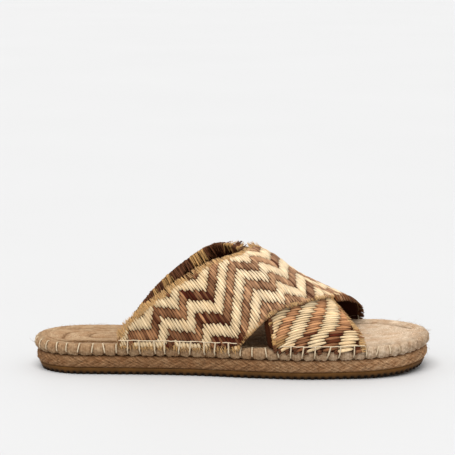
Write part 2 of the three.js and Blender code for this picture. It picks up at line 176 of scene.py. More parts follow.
def colour_setting(name, thing, *rgb):
    """The colour of a thing, given as 0-255 screen values."""
    return bpy.props.FloatVectorProperty(
        name=name, description=f"Colour of the {thing}", subtype="COLOR", size=4,
        default=linear(*rgb))


class WeaveSettings(bpy.types.PropertyGroup):
    strand_pitch: length_setting(
        "Strand pitch", "Distance between strands along the strap", 1.66, 1.0, 4.0)
    stripe_period: length_setting(
        "Stripe period", "Distance from brown stripe to brown stripe", 18.0, 8.0, 40.0)
    brown_length: length_setting(
        "Brown float", "Length of a brown float of the weave", 8.0, 2.0, 20.0)
    strand_thickness: length_setting(
        "Strand thickness", "Thickness of one raffia strand", 1.1, 0.4, 2.0)
    fringe_width: length_setting(
        "Fringe width", "Width of one split fibre of the frayed edge", 0.42, 0.1, 2.0)


class SoleSettings(bpy.types.PropertyGroup):
    stitch_pitch: length_setting(
        "Stitch pitch", "Distance between blanket stitches", 8.0, 3.0, 20.0)
    thread_radius: length_setting(
        "Thread radius", "Radius of the stitching thread", 0.46, 0.1, 1.5)
    braid_pitch: length_setting(
        "Braid pitch", "Length of one lobe of the jute braid", 4.6, 1.5, 12.0)
    hair_count: bpy.props.IntProperty(
        name="Hairs", description="Number of loose jute hairs on the sole", default=1500,
        min=0, max=6000)


class ColourSettings(bpy.types.PropertyGroup):
    cream: colour_setting("Cream raffia", "cream floats", 236, 209, 167)
    golden: colour_setting("Golden raffia", "cream raffia at its frayed edges", 212, 164, 104)
    rosy: colour_setting("Mid brown raffia", "lighter brown floats", 194, 142, 99)
    dark: colour_setting("Dark brown raffia", "darker brown floats", 75, 29, 9)
    lining: colour_setting("Lining", "cloth lining", 54, 26, 12)
    jute: colour_setting("Jute", "rim and footbed", 184, 155, 122)
    jute_toe: colour_setting("Jute at the toe", "rim and footbed at the toe", 214, 192, 166)
    tier: colour_setting("Jute tier", "lower jute layer", 168, 131, 95)
    tier_toe: colour_setting(
        "Jute tier at the toe", "lower jute layer at the toe", 205, 168, 130)
    rubber: colour_setting("Rubber", "rubber bottom", 98, 65, 28)
    thread: colour_setting("Thread", "blanket stitch", 218, 197, 165)


# Shared shapes


def read_table(keys, values, at):
    """A smooth curve through a table: cubic Hermite between rows, each slope from its neighbours."""
    at = np.asarray(at, float)
    last = len(keys) - 1
    before = np.maximum(np.arange(last + 1) - 1, 0)
    after = np.minimum(np.arange(last + 1) + 1, last)
    slope = (values[after] - values[before]) / (keys[after] - keys[before])
    row = np.clip(np.searchsorted(keys, at, side="right") - 1, 0, last - 1)
    span = keys[row + 1] - keys[row]
    t = np.clip((at - keys[row]) / span, 0, 1)
    first = (1 + 2 * t) * (1 - t) ** 2
    bend = t * (1 - t) ** 2 * slope[row] + t * t * (t - 1) * slope[row + 1]
    return first * values[row] + (1 - first) * values[row + 1] + span * bend


def smooth(t):
    """0 below 0, 1 above 1, and 3t^2 - 2t^3 between."""
    t = np.clip(t, 0, 1)
    return t * t * (3 - 2 * t)


def band(at, start, end, rise, fall):
    """1 between start and end and 0 outside, faded in over rise and out over fall."""
    return smooth((at - start) / rise) * smooth((end - at) / fall)


def wander(at, seed, length, octaves=4):
    """Smooth noise of about -1..1 along a line: a sum of sines with seeded phases, waves from
    the given length downwards, each shorter one weaker."""
    rng = np.random.default_rng(seed)
    total = np.zeros(np.shape(at))
    for k in range(octaves):
        waves = 2 * np.pi / (length / 1.7**k * rng.uniform(0.8, 1.25))
        total = total + np.sin(waves * at + rng.uniform(0, 2 * np.pi)) / 1.5**k
    return total / 1.9


def end_rounding(distance, length):
    """Superellipse quarter that closes an end: (1 - (1 - d/length)^n)^(1/n)."""
    rest = np.maximum(1 - distance / length, 0)
    return np.maximum(1 - rest**SQUARENESS, 0) ** (1 / SQUARENESS)


def half_width(x, side):
    """Half width of the sole at x on a side: the table's share between heel and ball half widths,
    times the rounding of both ends."""
    d = np.clip(np.asarray(x, float) + LENGTH / 2, 0, LENGTH)
    share = read_table(OUTLINE_ALONG, OUTLINE[side], d / LENGTH)
    width = HEEL / 2 + (BALL - HEEL) / 2 * share
    return width * end_rounding(d, HEEL_ROUND) * end_rounding(LENGTH - d, TOE_ROUND)


def spring_at(x):
    """Lift of the toe: a parabola over the last SPRING_LENGTH millimetres."""
    past = np.maximum(np.asarray(x, float) - (LENGTH / 2 - SPRING_LENGTH), 0)
    return SPRING * (past / SPRING_LENGTH) ** 2


def running_length(path):
    """Length along a path up to each of its points: the running sum of its steps."""
    return np.concatenate([[0], np.cumsum(np.linalg.norm(np.diff(path, axis=0), axis=1))])


def evenly(path, count):
    """count points evenly spaced by length on a closed flat path, the direction to its left at each
    one, square to the step from neighbour to neighbour, and the lengths."""
    lengths = running_length(path)
    at = np.arange(count) / count * lengths[-1]
    points = np.stack([np.interp(at, lengths, path[:, k]) for k in (0, 1)], -1)
    step = np.roll(points, -1, 0) - np.roll(points, 1, 0)
    step /= np.linalg.norm(step, axis=1, keepdims=True)
    return points, np.stack([-step[:, 1], step[:, 0]], -1), at


def outline_path():
    """The sole's outline from the toe round the inner side to the heel and back on the outer."""
    x = LENGTH / 2 * np.cos(np.linspace(0, np.pi, 3000))
    inner = np.stack([x, half_width(x, "inner")], -1)
    outer = np.stack([x, -half_width(x, "outer")], -1)[::-1]
    return np.concatenate([inner, outer[1:]])


# Length round the whole outline in mm
AROUND = running_length(outline_path())[-1]


def outline(count):
    """The outline as evenly spaced points, with the inward directions and the lengths."""
    return evenly(outline_path(), count)


def on_outline(s):
    """Points and inward directions of the outline at any lengths along it."""
    points, inward, at = outline(6000)
    return [np.stack([np.interp(np.mod(s, AROUND), at, values[:, k], period=AROUND)
                      for k in (0, 1)], -1) for values in (points, inward)]


def ring_at(points, inward, inset, height):
    """The outline drawn in by an inset at a height: point + inward * inset, lifted by the spring."""
    xy = points + inward * np.asarray(inset)[..., None]
    z = np.broadcast_to(height, xy.shape[:-1]) + spring_at(xy[..., 0])
    return np.concatenate([xy, z[..., None]], -1)


def core_ring(points, height):
    """The straight core line that the footbed is coiled round, one point for each outline point."""
    opposite = np.roll(points[::-1], 1, 0)
    x = np.clip((points[:, 0] + opposite[:, 0]) / 2, CORE_HEEL - LENGTH / 2, LENGTH / 2 - CORE_TOE)
    y = (half_width(x, "inner") - half_width(x, "outer")) / 2
    return np.stack([x, y, height + spring_at(x)], -1)


def new_mesh(name, points, faces, finish, replaced=(), uv=None, values=None, colours=None,
             merge=0.0):
    """Puts points in mm and faces into a mesh piece in metres that rides on the shoe. uv holds a
    pair for each point, values a number and colours four numbers for each point. Points nearer to
    each other than merge become one."""
    mesh = bpy.data.meshes.new(name)
    mesh.from_pydata((np.asarray(points).reshape(-1, 3) * MM).tolist(), [], faces)
    if uv is not None:
        corner = np.empty(len(mesh.loops), np.int32)
        mesh.loops.foreach_get("vertex_index", corner)
        layer = mesh.uv_layers.new(name="grain")
        layer.data.foreach_set("uv", np.asarray(uv, np.float32).reshape(-1, 2)[corner].ravel())
    for label, numbers in (values or {}).items():
        attribute = mesh.attributes.new(label, "FLOAT", "POINT")
        attribute.data.foreach_set("value", np.asarray(numbers, np.float32).ravel())
    if colours is not None:
        attribute = mesh.attributes.new("dye", "FLOAT_COLOR", "POINT")
        attribute.data.foreach_set("color", np.asarray(colours, np.float32).ravel())
    if merge:
        shape = bmesh.new()
        shape.from_mesh(mesh)
        bmesh.ops.remove_doubles(shape, verts=shape.verts, dist=merge * MM)
        shape.to_mesh(mesh)
        shape.free()
    mesh.validate()
    mesh.shade_smooth()
    mesh.materials.append(finish)
    piece = bpy.data.objects.new(name, mesh)
    bpy.context.scene.collection.objects.link(piece)
    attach(piece, "root")
    if replaced:
        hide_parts(*replaced)


def wrapped_faces(rows, columns, closed_rows=False):
    """Quads of a grid whose columns wrap round; the rows wrap too where closed_rows is set."""
    r, c = np.meshgrid(np.arange(rows if closed_rows else rows - 1), np.arange(columns), indexing="ij")
    down, right = (r + 1) % rows, (c + 1) % columns
    quads = np.stack([r * columns + c, r * columns + right, down * columns + right,
                      down * columns + c], -1)
    return quads.reshape(-1, 4).tolist()


def tubes(rings):
    """Many closed tubes at once. rings has the shape (tubes, rings, sides, 3), sides counted so
    that the faces look outwards; each end is closed by a fan to the middle of its ring. Returns
    the points, the faces and the number of points of one tube."""
    count, rows, sides = rings.shape[:3]
    size = rows * sides + 2
    r, s = np.meshgrid(np.arange(rows - 1), np.arange(sides), indexing="ij")
    n = (s + 1) % sides
    quads = np.stack([r * sides + s, r * sides + n, (r + 1) * sides + n, (r + 1) * sides + s], -1)
    side = np.arange(sides)
    nxt = (side + 1) % sides
    low = np.stack([np.full(sides, rows * sides), nxt, side], -1)
    top = (rows - 1) * sides
    high = np.stack([np.full(sides, rows * sides + 1), top + side, top + nxt], -1)
    base = (np.arange(count) * size)[:, None, None]
    quads = (quads.reshape(1, -1, 4) + base).reshape(-1, 4).tolist()
    fans = (np.concatenate([low, high])[None] + base).reshape(-1, 3).tolist()
    return per_point(rings), quads + fans, size


def per_point(values):
    """Lays values (tubes, rings, sides, ...) out point by point, tube after tube, each one followed
    by its two end poles, which take their ring's mean."""
    values = np.asarray(values, float)
    count, rows, sides = values.shape[:3]
    flat = values.reshape(count, rows * sides, *values.shape[3:])
    return np.concatenate(
        [flat, values[:, :1].mean(2), values[:, -1:].mean(2)], 1
    ).reshape(count * (rows * sides + 2), *values.shape[3:])


def tube_piece(name, rings, finish, grain, lift, dye=None, replaced=()):
    """Puts closed tubes into a piece. grain's two parts and lift have a value for each point of the
    rings, or fit them by repeating, and dye has three numbers for each tube."""
    points, faces, size = tubes(rings)
    colours = None
    if dye is not None:
        colours = np.repeat(np.concatenate([dye, np.ones((len(dye), 1))], 1), size, 0)
    new_mesh(name, points, faces, finish, replaced,
             uv=per_point(np.stack(np.broadcast_arrays(*grain), -1)),
             values={"lift": per_point(np.broadcast_to(lift, rings.shape[:3]))}, colours=colours)


def turns(sides):
    """Angles in radians of the sides of a section, evenly spaced round it."""
    return 2 * np.pi * np.arange(sides) / sides


def unit(vectors):
    """Vectors divided by their lengths."""
    return vectors / np.maximum(np.linalg.norm(vectors, axis=-1, keepdims=True), 1e-9)


def sections(line, one, wide, two, tall):
    """Rings of points round each point of the lines: line + one * wide + two * tall."""
    return (line[:, :, None] + one[:, :, None] * wide[..., None]
            + two[:, :, None] * tall[..., None])


def across_line(line, face):
    """Two directions across each line, from cross products of its own direction with a face."""
    along = unit(np.gradient(line, axis=1))
    one = unit(np.cross(along, face))
    return one, unit(np.cross(along, one))


# Materials


def node(tree, kind, inputs=None, **settings):
    """Adds a shader node. inputs maps a socket to a number, a colour or another node's output."""
    made = tree.nodes.new(kind)
    for name, value in settings.items():
        setattr(made, name, value)
    for socket, value in (inputs or {}).items():
        if isinstance(value, bpy.types.NodeSocket):
            tree.links.new(value, made.inputs[socket])
        else:
            made.inputs[socket].default_value = value
    return made


def blank_material(name, roughness, specular, **extra):
    """A new material with a plain principled shader; returns the material, its tree and shader."""
    made = bpy.data.materials.new(name)
    made.use_nodes = True
    tree = made.node_tree
    shader = tree.nodes["Principled BSDF"]
    shader.inputs["Roughness"].default_value = roughness
    shader.inputs["Specular IOR Level"].default_value = specular
    for socket, value in extra.items():
        shader.inputs[socket].default_value = value
    return made, tree, shader


def grain_noise(tree, scale, detail=3.0, roughness=0.6, turn=0.0):
    """Noise on the piece's own grain map, in mm, stretched by the mapping's scale."""
    place = node(tree, "ShaderNodeUVMap", uv_map="grain")
    mapping = node(tree, "ShaderNodeMapping", {"Vector": place.outputs["UV"], "Scale": scale,
                                               "Rotation": (0, 0, turn)})
    return node(tree, "ShaderNodeTexNoise", {
        "Vector": mapping.outputs["Vector"], "Scale": 1.0, "Detail": detail,
        "Roughness": roughness}, noise_dimensions="2D").outputs["Fac"]


def body_noise(tree, scale, detail=2.0):
    """Noise on the object's coordinates, with so many waves per metre."""
    place = node(tree, "ShaderNodeTexCoord")
    return node(tree, "ShaderNodeTexNoise", {
        "Vector": place.outputs["Object"], "Scale": scale, "Detail": detail}).outputs["Fac"]


def mapped(tree, value, low, high, to_low, to_high):
    """value's range low..high carried to to_low..to_high."""
    return node(tree, "ShaderNodeMapRange", {
        "Value": value, "From Min": low, "From Max": high, "To Min": to_low,
        "To Max": to_high}).outputs["Result"]


def maths(tree, operation, a, b):
    """Two values put together by one operation of arithmetic."""
    return node(tree, "ShaderNodeMath", {0: a, 1: b}, operation=operation).outputs[0]


def mixed(tree, factor, a, b, blend="MIX"):
    """Two colours mixed by a factor."""
    made = node(tree, "ShaderNodeMix", data_type="RGBA", blend_type=blend)
    for index, value in ((0, factor), (6, a), (7, b)):
        if isinstance(value, bpy.types.NodeSocket):
            tree.links.new(value, made.inputs[index])
        else:
            made.inputs[index].default_value = value
    return made.outputs[2]


def dimmed(tree, colour, value):
    """A colour multiplied by a grey value."""
    grey = node(tree, "ShaderNodeCombineColor", {0: value, 1: value, 2: value}).outputs[0]
    return mixed(tree, 1.0, colour, grey, "MULTIPLY")


def finish_material(tree, shader, colour, height, strength, distance):
    """Links the colour and a bump made from the height."""
    tree.links.new(colour, shader.inputs["Base Color"])
    bump = node(tree, "ShaderNodeBump", {"Height": height, "Strength": strength,
                                         "Distance": distance})
    tree.links.new(bump.outputs["Normal"], shader.inputs["Normal"])


def attribute(tree, name, output="Fac"):
    """A value stored on the mesh's points."""
    return node(tree, "ShaderNodeAttribute", attribute_name=name).outputs[output]


def raffia_material():
    """Dyed raffia: the dye of each float, streaked along its fibres, darkened by painted shade from
    lift, a little glossy.
    """
    made, tree, shader = blank_material("dyed_raffia", 0.58, 0.08)
    fine = grain_noise(tree, (7.0, 0.22, 1.0), 4.0)
    broad = grain_noise(tree, (2.2, 0.09, 1.0), 2.0)
    streak = maths(tree, "ADD", mapped(tree, fine, 0.3, 0.7, 0.6, 1.22),
                   mapped(tree, broad, 0.3, 0.7, -0.16, 0.16))
    # Painted shade: low lift darkens the raffia to 0.42 of its dye, at the floats' sides and ends and
    # under the over strap's edge
    depth = mapped(tree, attribute(tree, "lift"), 0.0, 1.0, 0.42, 1.0)
    colour = dimmed(tree, attribute(tree, "dye", "Color"), maths(tree, "MULTIPLY", streak, depth))
    finish_material(tree, shader, colour, maths(tree, "ADD", fine, broad), 0.75, 0.00035)
    return made


def jute_material(name, colour, toe_colour, shadow=0.4):
    """Jute: fibre streaks along the grain, darker in the valleys by painted shade from lift, which
    turns redder as it deepens, with paler and redder patches, and paler towards the toe."""
    made, tree, shader = blank_material(name, 0.85, 0.12)
    fine = grain_noise(tree, (0.35, 5.5, 1.0), 5.0, 0.65)
    broad = grain_noise(tree, (0.12, 1.6, 1.0), 3.0)
    patch = body_noise(tree, 130.0)
    streak = maths(tree, "ADD", mapped(tree, fine, 0.28, 0.72, 0.62, 1.2),
                   mapped(tree, broad, 0.3, 0.7, -0.2, 0.18))
    # Painted shade: low lift darkens the jute down to the shadow factor, and below the deeper shade is
    # tinted redder
    depth = mapped(tree, attribute(tree, "lift"), 0.0, 1.0, shadow, 1.04)
    place = node(tree, "ShaderNodeTexCoord").outputs["Object"]
    x = node(tree, "ShaderNodeSeparateXYZ", {"Vector": place}).outputs["X"]
    ground = mixed(tree, mapped(tree, x, *TOE_FADE, 0.0, 1.0), colour, toe_colour)
    redder = mixed(tree, 1.0, ground, (0.82, 0.72, 0.64, 1.0), "MULTIPLY")
    tinted = mixed(tree, mapped(tree, patch, 0.35, 0.68, 0.0, 1.0), ground, redder)
    shade = maths(tree, "MULTIPLY", streak, depth)
    tone = node(tree, "ShaderNodeCombineColor", {
        0: shade, 1: maths(tree, "POWER", shade, 1.2), 2: maths(tree, "POWER", shade, 1.42)})
    colour = mixed(tree, 1.0, tinted, tone.outputs[0], "MULTIPLY")
    finish_material(tree, shader, colour, maths(tree, "ADD", fine, broad), 0.8, 0.0005)
    return made


def lining_material(colour):
    """Dark plain-woven cloth: two crossing sets of waves as a fine bump."""
    made, tree, shader = blank_material("lining_cloth", 0.95, 0.04)
    place = node(tree, "ShaderNodeUVMap", uv_map="grain").outputs["UV"]
    warp = node(tree, "ShaderNodeTexWave", {"Vector": place, "Scale": 0.55, "Distortion": 0.4},
                bands_direction="X").outputs["Fac"]
    weft = node(tree, "ShaderNodeTexWave", {"Vector": place, "Scale": 0.55, "Distortion": 0.4},
                bands_direction="Y").outputs["Fac"]
    cloth = maths(tree, "MAXIMUM", warp, weft)
    shade = maths(tree, "MULTIPLY", mapped(tree, cloth, 0.3, 1.0, 0.65, 1.15),
                  mapped(tree, body_noise(tree, 60.0), 0.3, 0.7, 0.75, 1.25))
    finish_material(tree, shader, dimmed(tree, colour, shade), cloth, 0.5, 0.0003)
    return made


def thread_material(colour):
    """Cotton thread: paler ridges and painted shade between the plies of its twist, from lift, and a
    soft nap.
    """
    made, tree, shader = blank_material("cotton_thread", 0.75, 0.25)
    fine = grain_noise(tree, (2.0, 5.0, 1.0), 4.0, 0.6, 0.6)
    depth = mapped(tree, attribute(tree, "lift"), 0.0, 1.0, 0.6, 1.03)
    shade = maths(tree, "MULTIPLY", mapped(tree, fine, 0.3, 0.7, 0.82, 1.1), depth)
    finish_material(tree, shader, dimmed(tree, colour, shade), fine, 0.6, 0.0002)
    return made


def rubber_material(colour):
    """Matt moulded rubber: fine mottle, and painted shade from lift that darkens its lower edge and
    rib notches.
    """
    made, tree, shader = blank_material("brown_rubber", 0.7, 0.14)
    fine = body_noise(tree, 1600.0, 3.0)
    broad = body_noise(tree, 90.0, 3.0)
    depth = mapped(tree, attribute(tree, "lift"), 0.0, 1.0, 0.05, 1.0)
    shade = maths(tree, "MULTIPLY", mapped(tree, broad, 0.3, 0.7, 0.78, 1.2), depth)
    finish_material(tree, shader, dimmed(tree, colour, shade), fine, 0.35, 0.0002)
    return made


# Straps


def arch_point(across, x, rear_inner):
    """A point of the arch at a share across it, from one rim to the other, at station x. Half turn
    of a superellipse whose crest is drawn to the inner side: y = crest + (side - crest) |cos|^p and
    z = foot + (top - foot) |sin|^p; past either end it goes straight down."""
    across, x = np.broadcast_arrays(np.asarray(across, float), np.asarray(x, float))
    inner = np.where(across < 0.5, rear_inner, not rear_inner)
    top = ARCH_TOP * read_table(ARCH_ALONG, ARCH_HEIGHT, x / LENGTH + 0.5)
    width = np.where(inner, half_width(x, "inner"), half_width(x, "outer")) + STANDOUT
    side = np.where(inner, width, -width)
    angle = np.pi * np.clip(across, 0, 1)
    below = np.maximum(np.maximum(-across, across - 1), 0) * ARCH_TOP * 2
    y = CREST + (side - CREST) * np.abs(np.cos(angle)) ** (2 / ARCH_SQUARE)
    rise = (top - FOOT_HEIGHT) * np.abs(np.sin(angle)) ** (2 / ARCH_SQUARE)
    return np.stack([x, y, FOOT_HEIGHT + rise - below], -1)


class Strap:
    """One strap's surface. along runs from 0 to 1 down its length, one value for each strand, and
    place from 0 at the rear edge to 1 at the front edge of that strand."""

    def __init__(self, name, edges, rear_inner, lift, zigzag):
        self.name, self.rear_inner, self.lift, self.zigzag = name, rear_inner, lift, zigzag
        self.edges = edges
        self.tracks = {}
        across = np.linspace(-0.6, 1.6, 401)
        inside = np.clip(across, 0, 1)
        for side, table in edges.items():
            start = (table[1] - table[0]) / ACROSS[1] / 2
            end = (table[-1] - table[-2]) / (1 - ACROSS[-2])
            share = read_table(ACROSS, table, inside) + (across - inside) * np.where(
                across < 0, start, end)
            x = (share - 0.5) * LENGTH
            path = arch_point(across, x, rear_inner)
            lengths = running_length(path)
            begin, finish = np.interp([0.0, 1.0], across, lengths)
            self.tracks[side] = (lengths - begin, across, x, finish - begin)
        self.rear_span = self.tracks["rear"][3] + SKEW_FRONT
        self.front_span = self.tracks["front"][3] + SKEW_REAR

    def point(self, along, place):
        """Middle of the wall: the strand joins equal shares of both edge tracks, straight in
        (across, x)."""
        along, place = np.broadcast_arrays(np.asarray(along, float), np.asarray(place, float))
        ends = []
        for side, length in (("rear", along * self.rear_span),
                             ("front", along * self.front_span - SKEW_REAR)):
            lengths, across, x, _ = self.tracks[side]
            ends.append((np.interp(length, lengths, across), np.interp(length, lengths, x)))
        (rear_across, rear_x), (front_across, front_x) = ends
        across = rear_across + (front_across - rear_across) * place
        x = rear_x + (front_x - rear_x) * place
        return arch_point(across, x, self.rear_inner), across, x

    def surface(self, along, place, step=0.004):
        """Point, outward direction, direction along the strand, direction across it, the share
        across the arch and x. Directions come from central differences."""
        p, across, x = self.point(along, place)
        over = self.point(np.asarray(along) + step, place)[0] - self.point(
            np.asarray(along) - step, place)[0]
        fore = self.point(along, np.asarray(place) + step)[0] - self.point(
            along, np.asarray(place) - step)[0]
        normal = unit(np.cross(over, fore))
        if not self.rear_inner:
            normal = -normal
        carried = smooth(across / RISE) * smooth((1 - across) / RISE)
        strand = unit(fore)
        p = p + normal * (self.lift * carried)[..., None]
        return p, normal, strand, unit(np.cross(normal, strand)), across, x

    def strand_widths(self, along):
        """Start and end in mm of each strand's woven part above the foot line, whether it has any,
        and the running length at even shares from edge to edge."""
        place = np.linspace(0, 1, 161)
        p, across, _ = self.point(along[:, None], place[None])
        steps = np.linalg.norm(np.diff(p, axis=1), axis=-1)
        lengths = np.concatenate([np.zeros((len(along), 1)), np.cumsum(steps, 1)], 1)
        inside = (across >= 0) & (across <= 1)
        first = np.argmax(inside, 1)
        last = inside.shape[1] - 1 - np.argmax(inside[:, ::-1], 1)
        rows = np.arange(len(along))
        low, high = lengths[rows, first], lengths[rows, last]
        if self.lift:
            bell = np.exp(-(((along - BARE_CREST_PLACE) / 0.075) ** 2))
            low = low + np.where(first > 0, 0.0, BARE_EDGE + BARE_CREST * bell)
        return low, high, inside.any(1) & (high > low + 1), lengths


OVER = Strap("over", OVER_EDGES, False, OVER_LIFT, OVER_ZIGZAG)
UNDER = Strap("under", UNDER_EDGES, True, 0.0, UNDER_ZIGZAG)


def hidden_by_over(across, x):
    """How far in mm a place on the under strap lies inside the over strap's edges; below 0 it
    shows. Both straps lie on one arch, counted across from opposite sides."""
    mirrored = np.clip(1 - across, 0, 1)
    rear = (read_table(ACROSS, OVER_EDGES["rear"], mirrored) - 0.5) * LENGTH
    front = (read_table(ACROSS, OVER_EDGES["front"], mirrored) - 0.5) * LENGTH
    return np.minimum(x - rear, front - x)


def dye_of(strap, along, brown, edge_mm, from_rear, rng, colours):
    """Colour of floats: cream or brown by the stripe. The chart says how dark each stretch of the
    brown is. Cream grows paler up the strap and turns golden near the edges by
    exp(-distance / 3.5 mm). Both are lighter on the over strap's upper part. The under strap's
    brown is lighter all over, and rusty at the rear of its outer foot."""
    cream, golden, rosy, dark = (np.array(c[:3]) for c in (
        colours.cream, colours.golden, colours.rosy, colours.dark))
    row = np.searchsorted(strap.zigzag[:, 0], along + rng.normal(0, 0.004, along.shape)) - 1
    depth = strap.zigzag[np.maximum(row, 0), 2]
    depth = np.clip(0.92 * depth + rng.normal(0, 0.2, along.shape), 0, 1)[:, None]
    pale = 0.86 + 0.18 * smooth(along / 0.5)[:, None]
    warm = 0.08 + 0.55 * np.exp(-edge_mm / 3.5) + rng.normal(0, 0.1, along.shape)
    warm = np.clip(warm, 0, 0.95)[:, None]
    light = (cream * (1 - warm) + golden * warm) * pale
    deep = rosy * (1 - depth) + dark * depth
    if strap is OVER:
        upper = smooth((along - 0.3) / 0.2)[:, None]
        deep = deep * (1 + upper * (0.12, 0.28, 0.5))
        light = light * (1 + upper * (0.0, 0.03, 0.12))
    else:
        rusty = (smooth((along - 0.9) / 0.03) * smooth((16 - from_rear) / 4))[:, None]
        deep = deep * 1.28 * (1 - rusty) + golden * 0.55 * rusty
    colour = np.where(brown[:, None], deep, light) * rng.normal(1, 0.07, along.shape)[:, None]
    return np.clip(colour, 0.004, 1.0)


def strap_floats(strap, weave):
    """Where each float of the weave lies: its strand, start and end in mm and whether it is brown.
    On a strand the brown floats are centred on zigzag + k * period, and cream ones fill between.
    Floats shorter than 2.4 mm are left out, and near the far end those shorter than 5 mm."""
    rng = np.random.default_rng(11 if strap.rear_inner else 7)
    strands = int(round(strap.rear_span / weave.strand_pitch))
    along = (np.arange(strands) + 0.5) / strands
    low, high, used, lengths = strap.strand_widths(along)
    middle = np.interp(along, strap.zigzag[:, 0], strap.zigzag[:, 1])
    stripe = np.arange(-4, 9) * weave.stripe_period
    half = weave.brown_length / 2
    centre = middle[:, None] + stripe[None]
    cuts = np.stack([centre - half, centre + half], -1).reshape(strands, -1)
    if strap.rear_inner:
        spread = 1 + FOOT_SPREAD * smooth((along - 0.82) / 0.08)[:, None]
        cuts = FOOT_SPREAD_ABOUT + (cuts - FOOT_SPREAD_ABOUT) * spread
    tooth = 0.75 if strap.rear_inner else 0.35
    cuts = cuts + rng.normal(0, 0.32, cuts.shape) + tooth * (-1.0) ** np.arange(strands)[:, None]
    start = np.clip(cuts[:, :-1], low[:, None], high[:, None])
    end = np.clip(cuts[:, 1:], low[:, None], high[:, None])
    brown = np.broadcast_to(np.arange(cuts.shape[1] - 1) % 2 == 0, start.shape)
    shortest = 2.4 + 2.6 * smooth((along - 0.9) / 0.04)[:, None]
    keep = (end - start > shortest) & used[:, None]
    row = np.broadcast_to(np.arange(strands)[:, None], start.shape)[keep]
    return along, row, start[keep], end[keep], brown[keep], rng, lengths


def along_lengths(lengths, row, at):
    """Shares from edge to edge of a strand for lengths in mm on it, past its ends by the mean."""
    share = np.linspace(0, 1, lengths.shape[1])
    total = lengths[row, -1]
    inside = np.clip(at, 0, total[:, None])
    grid = lengths[row]
    index = np.clip((grid[:, None, :] <= inside[..., None]).sum(-1) - 1, 0, grid.shape[1] - 2)
    rows = np.arange(len(row))[:, None]
    a, b = grid[rows, index], grid[rows, index + 1]
    found = share[index] + (inside - a) / np.maximum(b - a, 1e-9) * (share[1] - share[0])
    return found + (at - inside) / total[:, None]


def make_weave(strap, weave, colours, finish):
    """Floats of raffia as closed pillows. Along a float t goes from 0 to 1 and its swell is
    sin(pi t)^0.5; the middle line stands 0.1 + 0.5 swell mm over the wall's middle, half width and
    half thickness grow with the swell, and the section is a flat superellipse."""
    along, row, start, end, brown, rng, lengths = strap_floats(strap, weave)
    rings, sides, overlap, flat = 9, 8, 0.35, 0.75
    t = np.linspace(0, 1, rings)
    at = start[:, None] - overlap + (end - start + 2 * overlap)[:, None] * t
    place = along_lengths(lengths, row, at)
    here = along[row][:, None] + np.zeros_like(place)
    p, normal, _, sideways, across, x = strap.surface(here, place)
    if strap is UNDER:
        shown = hidden_by_over(across[:, rings // 2], x[:, rings // 2]) < FLOATS_UNDER
        p, normal, sideways, across, x = (v[shown] for v in (p, normal, sideways, across, x))
        here, place, row, start, end, brown, at = (
            v[shown] for v in (here, place, row, start, end, brown, at))
    half = 0.5 / len(along)
    gap = strap.point(here + half, place)[0] - strap.point(here - half, place)[0]
    spacing = np.minimum(np.abs((gap * sideways).sum(-1)), 1.3 * weave.strand_pitch)
    count = len(row)
    swell = np.sin(np.pi * np.clip(t, 0.02, 0.98)) ** 0.5
    half_wide = 0.53 * spacing * rng.normal(1, 0.08, (count, 1)) * (0.3 + 0.7 * swell)
    half_thick = weave.strand_thickness / 2 * rng.normal(1, 0.08, (count, 1)) * (
        0.35 + 0.65 * swell)
    height = 0.1 + rng.normal(0, 0.06, (count, 1)) + 0.5 * swell
    turn = turns(sides)
    wide, tall = (np.sign(v) * np.abs(v) ** flat for v in (np.cos(turn), np.sin(turn)))
    lean = rng.normal(0, 0.12, (count, 1, 1))
    wide = half_wide[..., None] * wide
    up = height[..., None] + half_thick[..., None] * tall + lean * wide
    middle = (start + end) / 2
    dye = dye_of(strap, along[row], brown, np.minimum(middle, lengths[row, -1] - middle), middle,
                 rng, colours)
    # Painted shade: lift darkens each float's underside and its thin ends, where neighbouring floats
    # meet
    lift = np.clip(0.45 + 0.55 * tall, 0, 1) * (0.25 + 0.75 * swell[:, None])
    # Painted shadow of the over strap's edge on the under strap: lift and dye fall off within a few mm
    # of that edge and under it
    if strap is UNDER:
        over_strap_shadow = np.exp(np.minimum(hidden_by_over(across, x), 0) / 3.0)
        lift = lift * (1 - 0.95 * over_strap_shadow[..., None])
        dye *= 1 - 0.55 * over_strap_shadow[:, rings // 2, None]
    shift = rng.uniform(0, 400, (count, 1, 1))
    grain = (turn / (2 * np.pi) * 3.6 + shift, (at - at[:, :1])[..., None] + shift * 0.7)
    tube_piece(f"strap_{strap.name}_weave", sections(p, normal, up, sideways, wide),
               finish, grain, lift, dye, ("upper",))


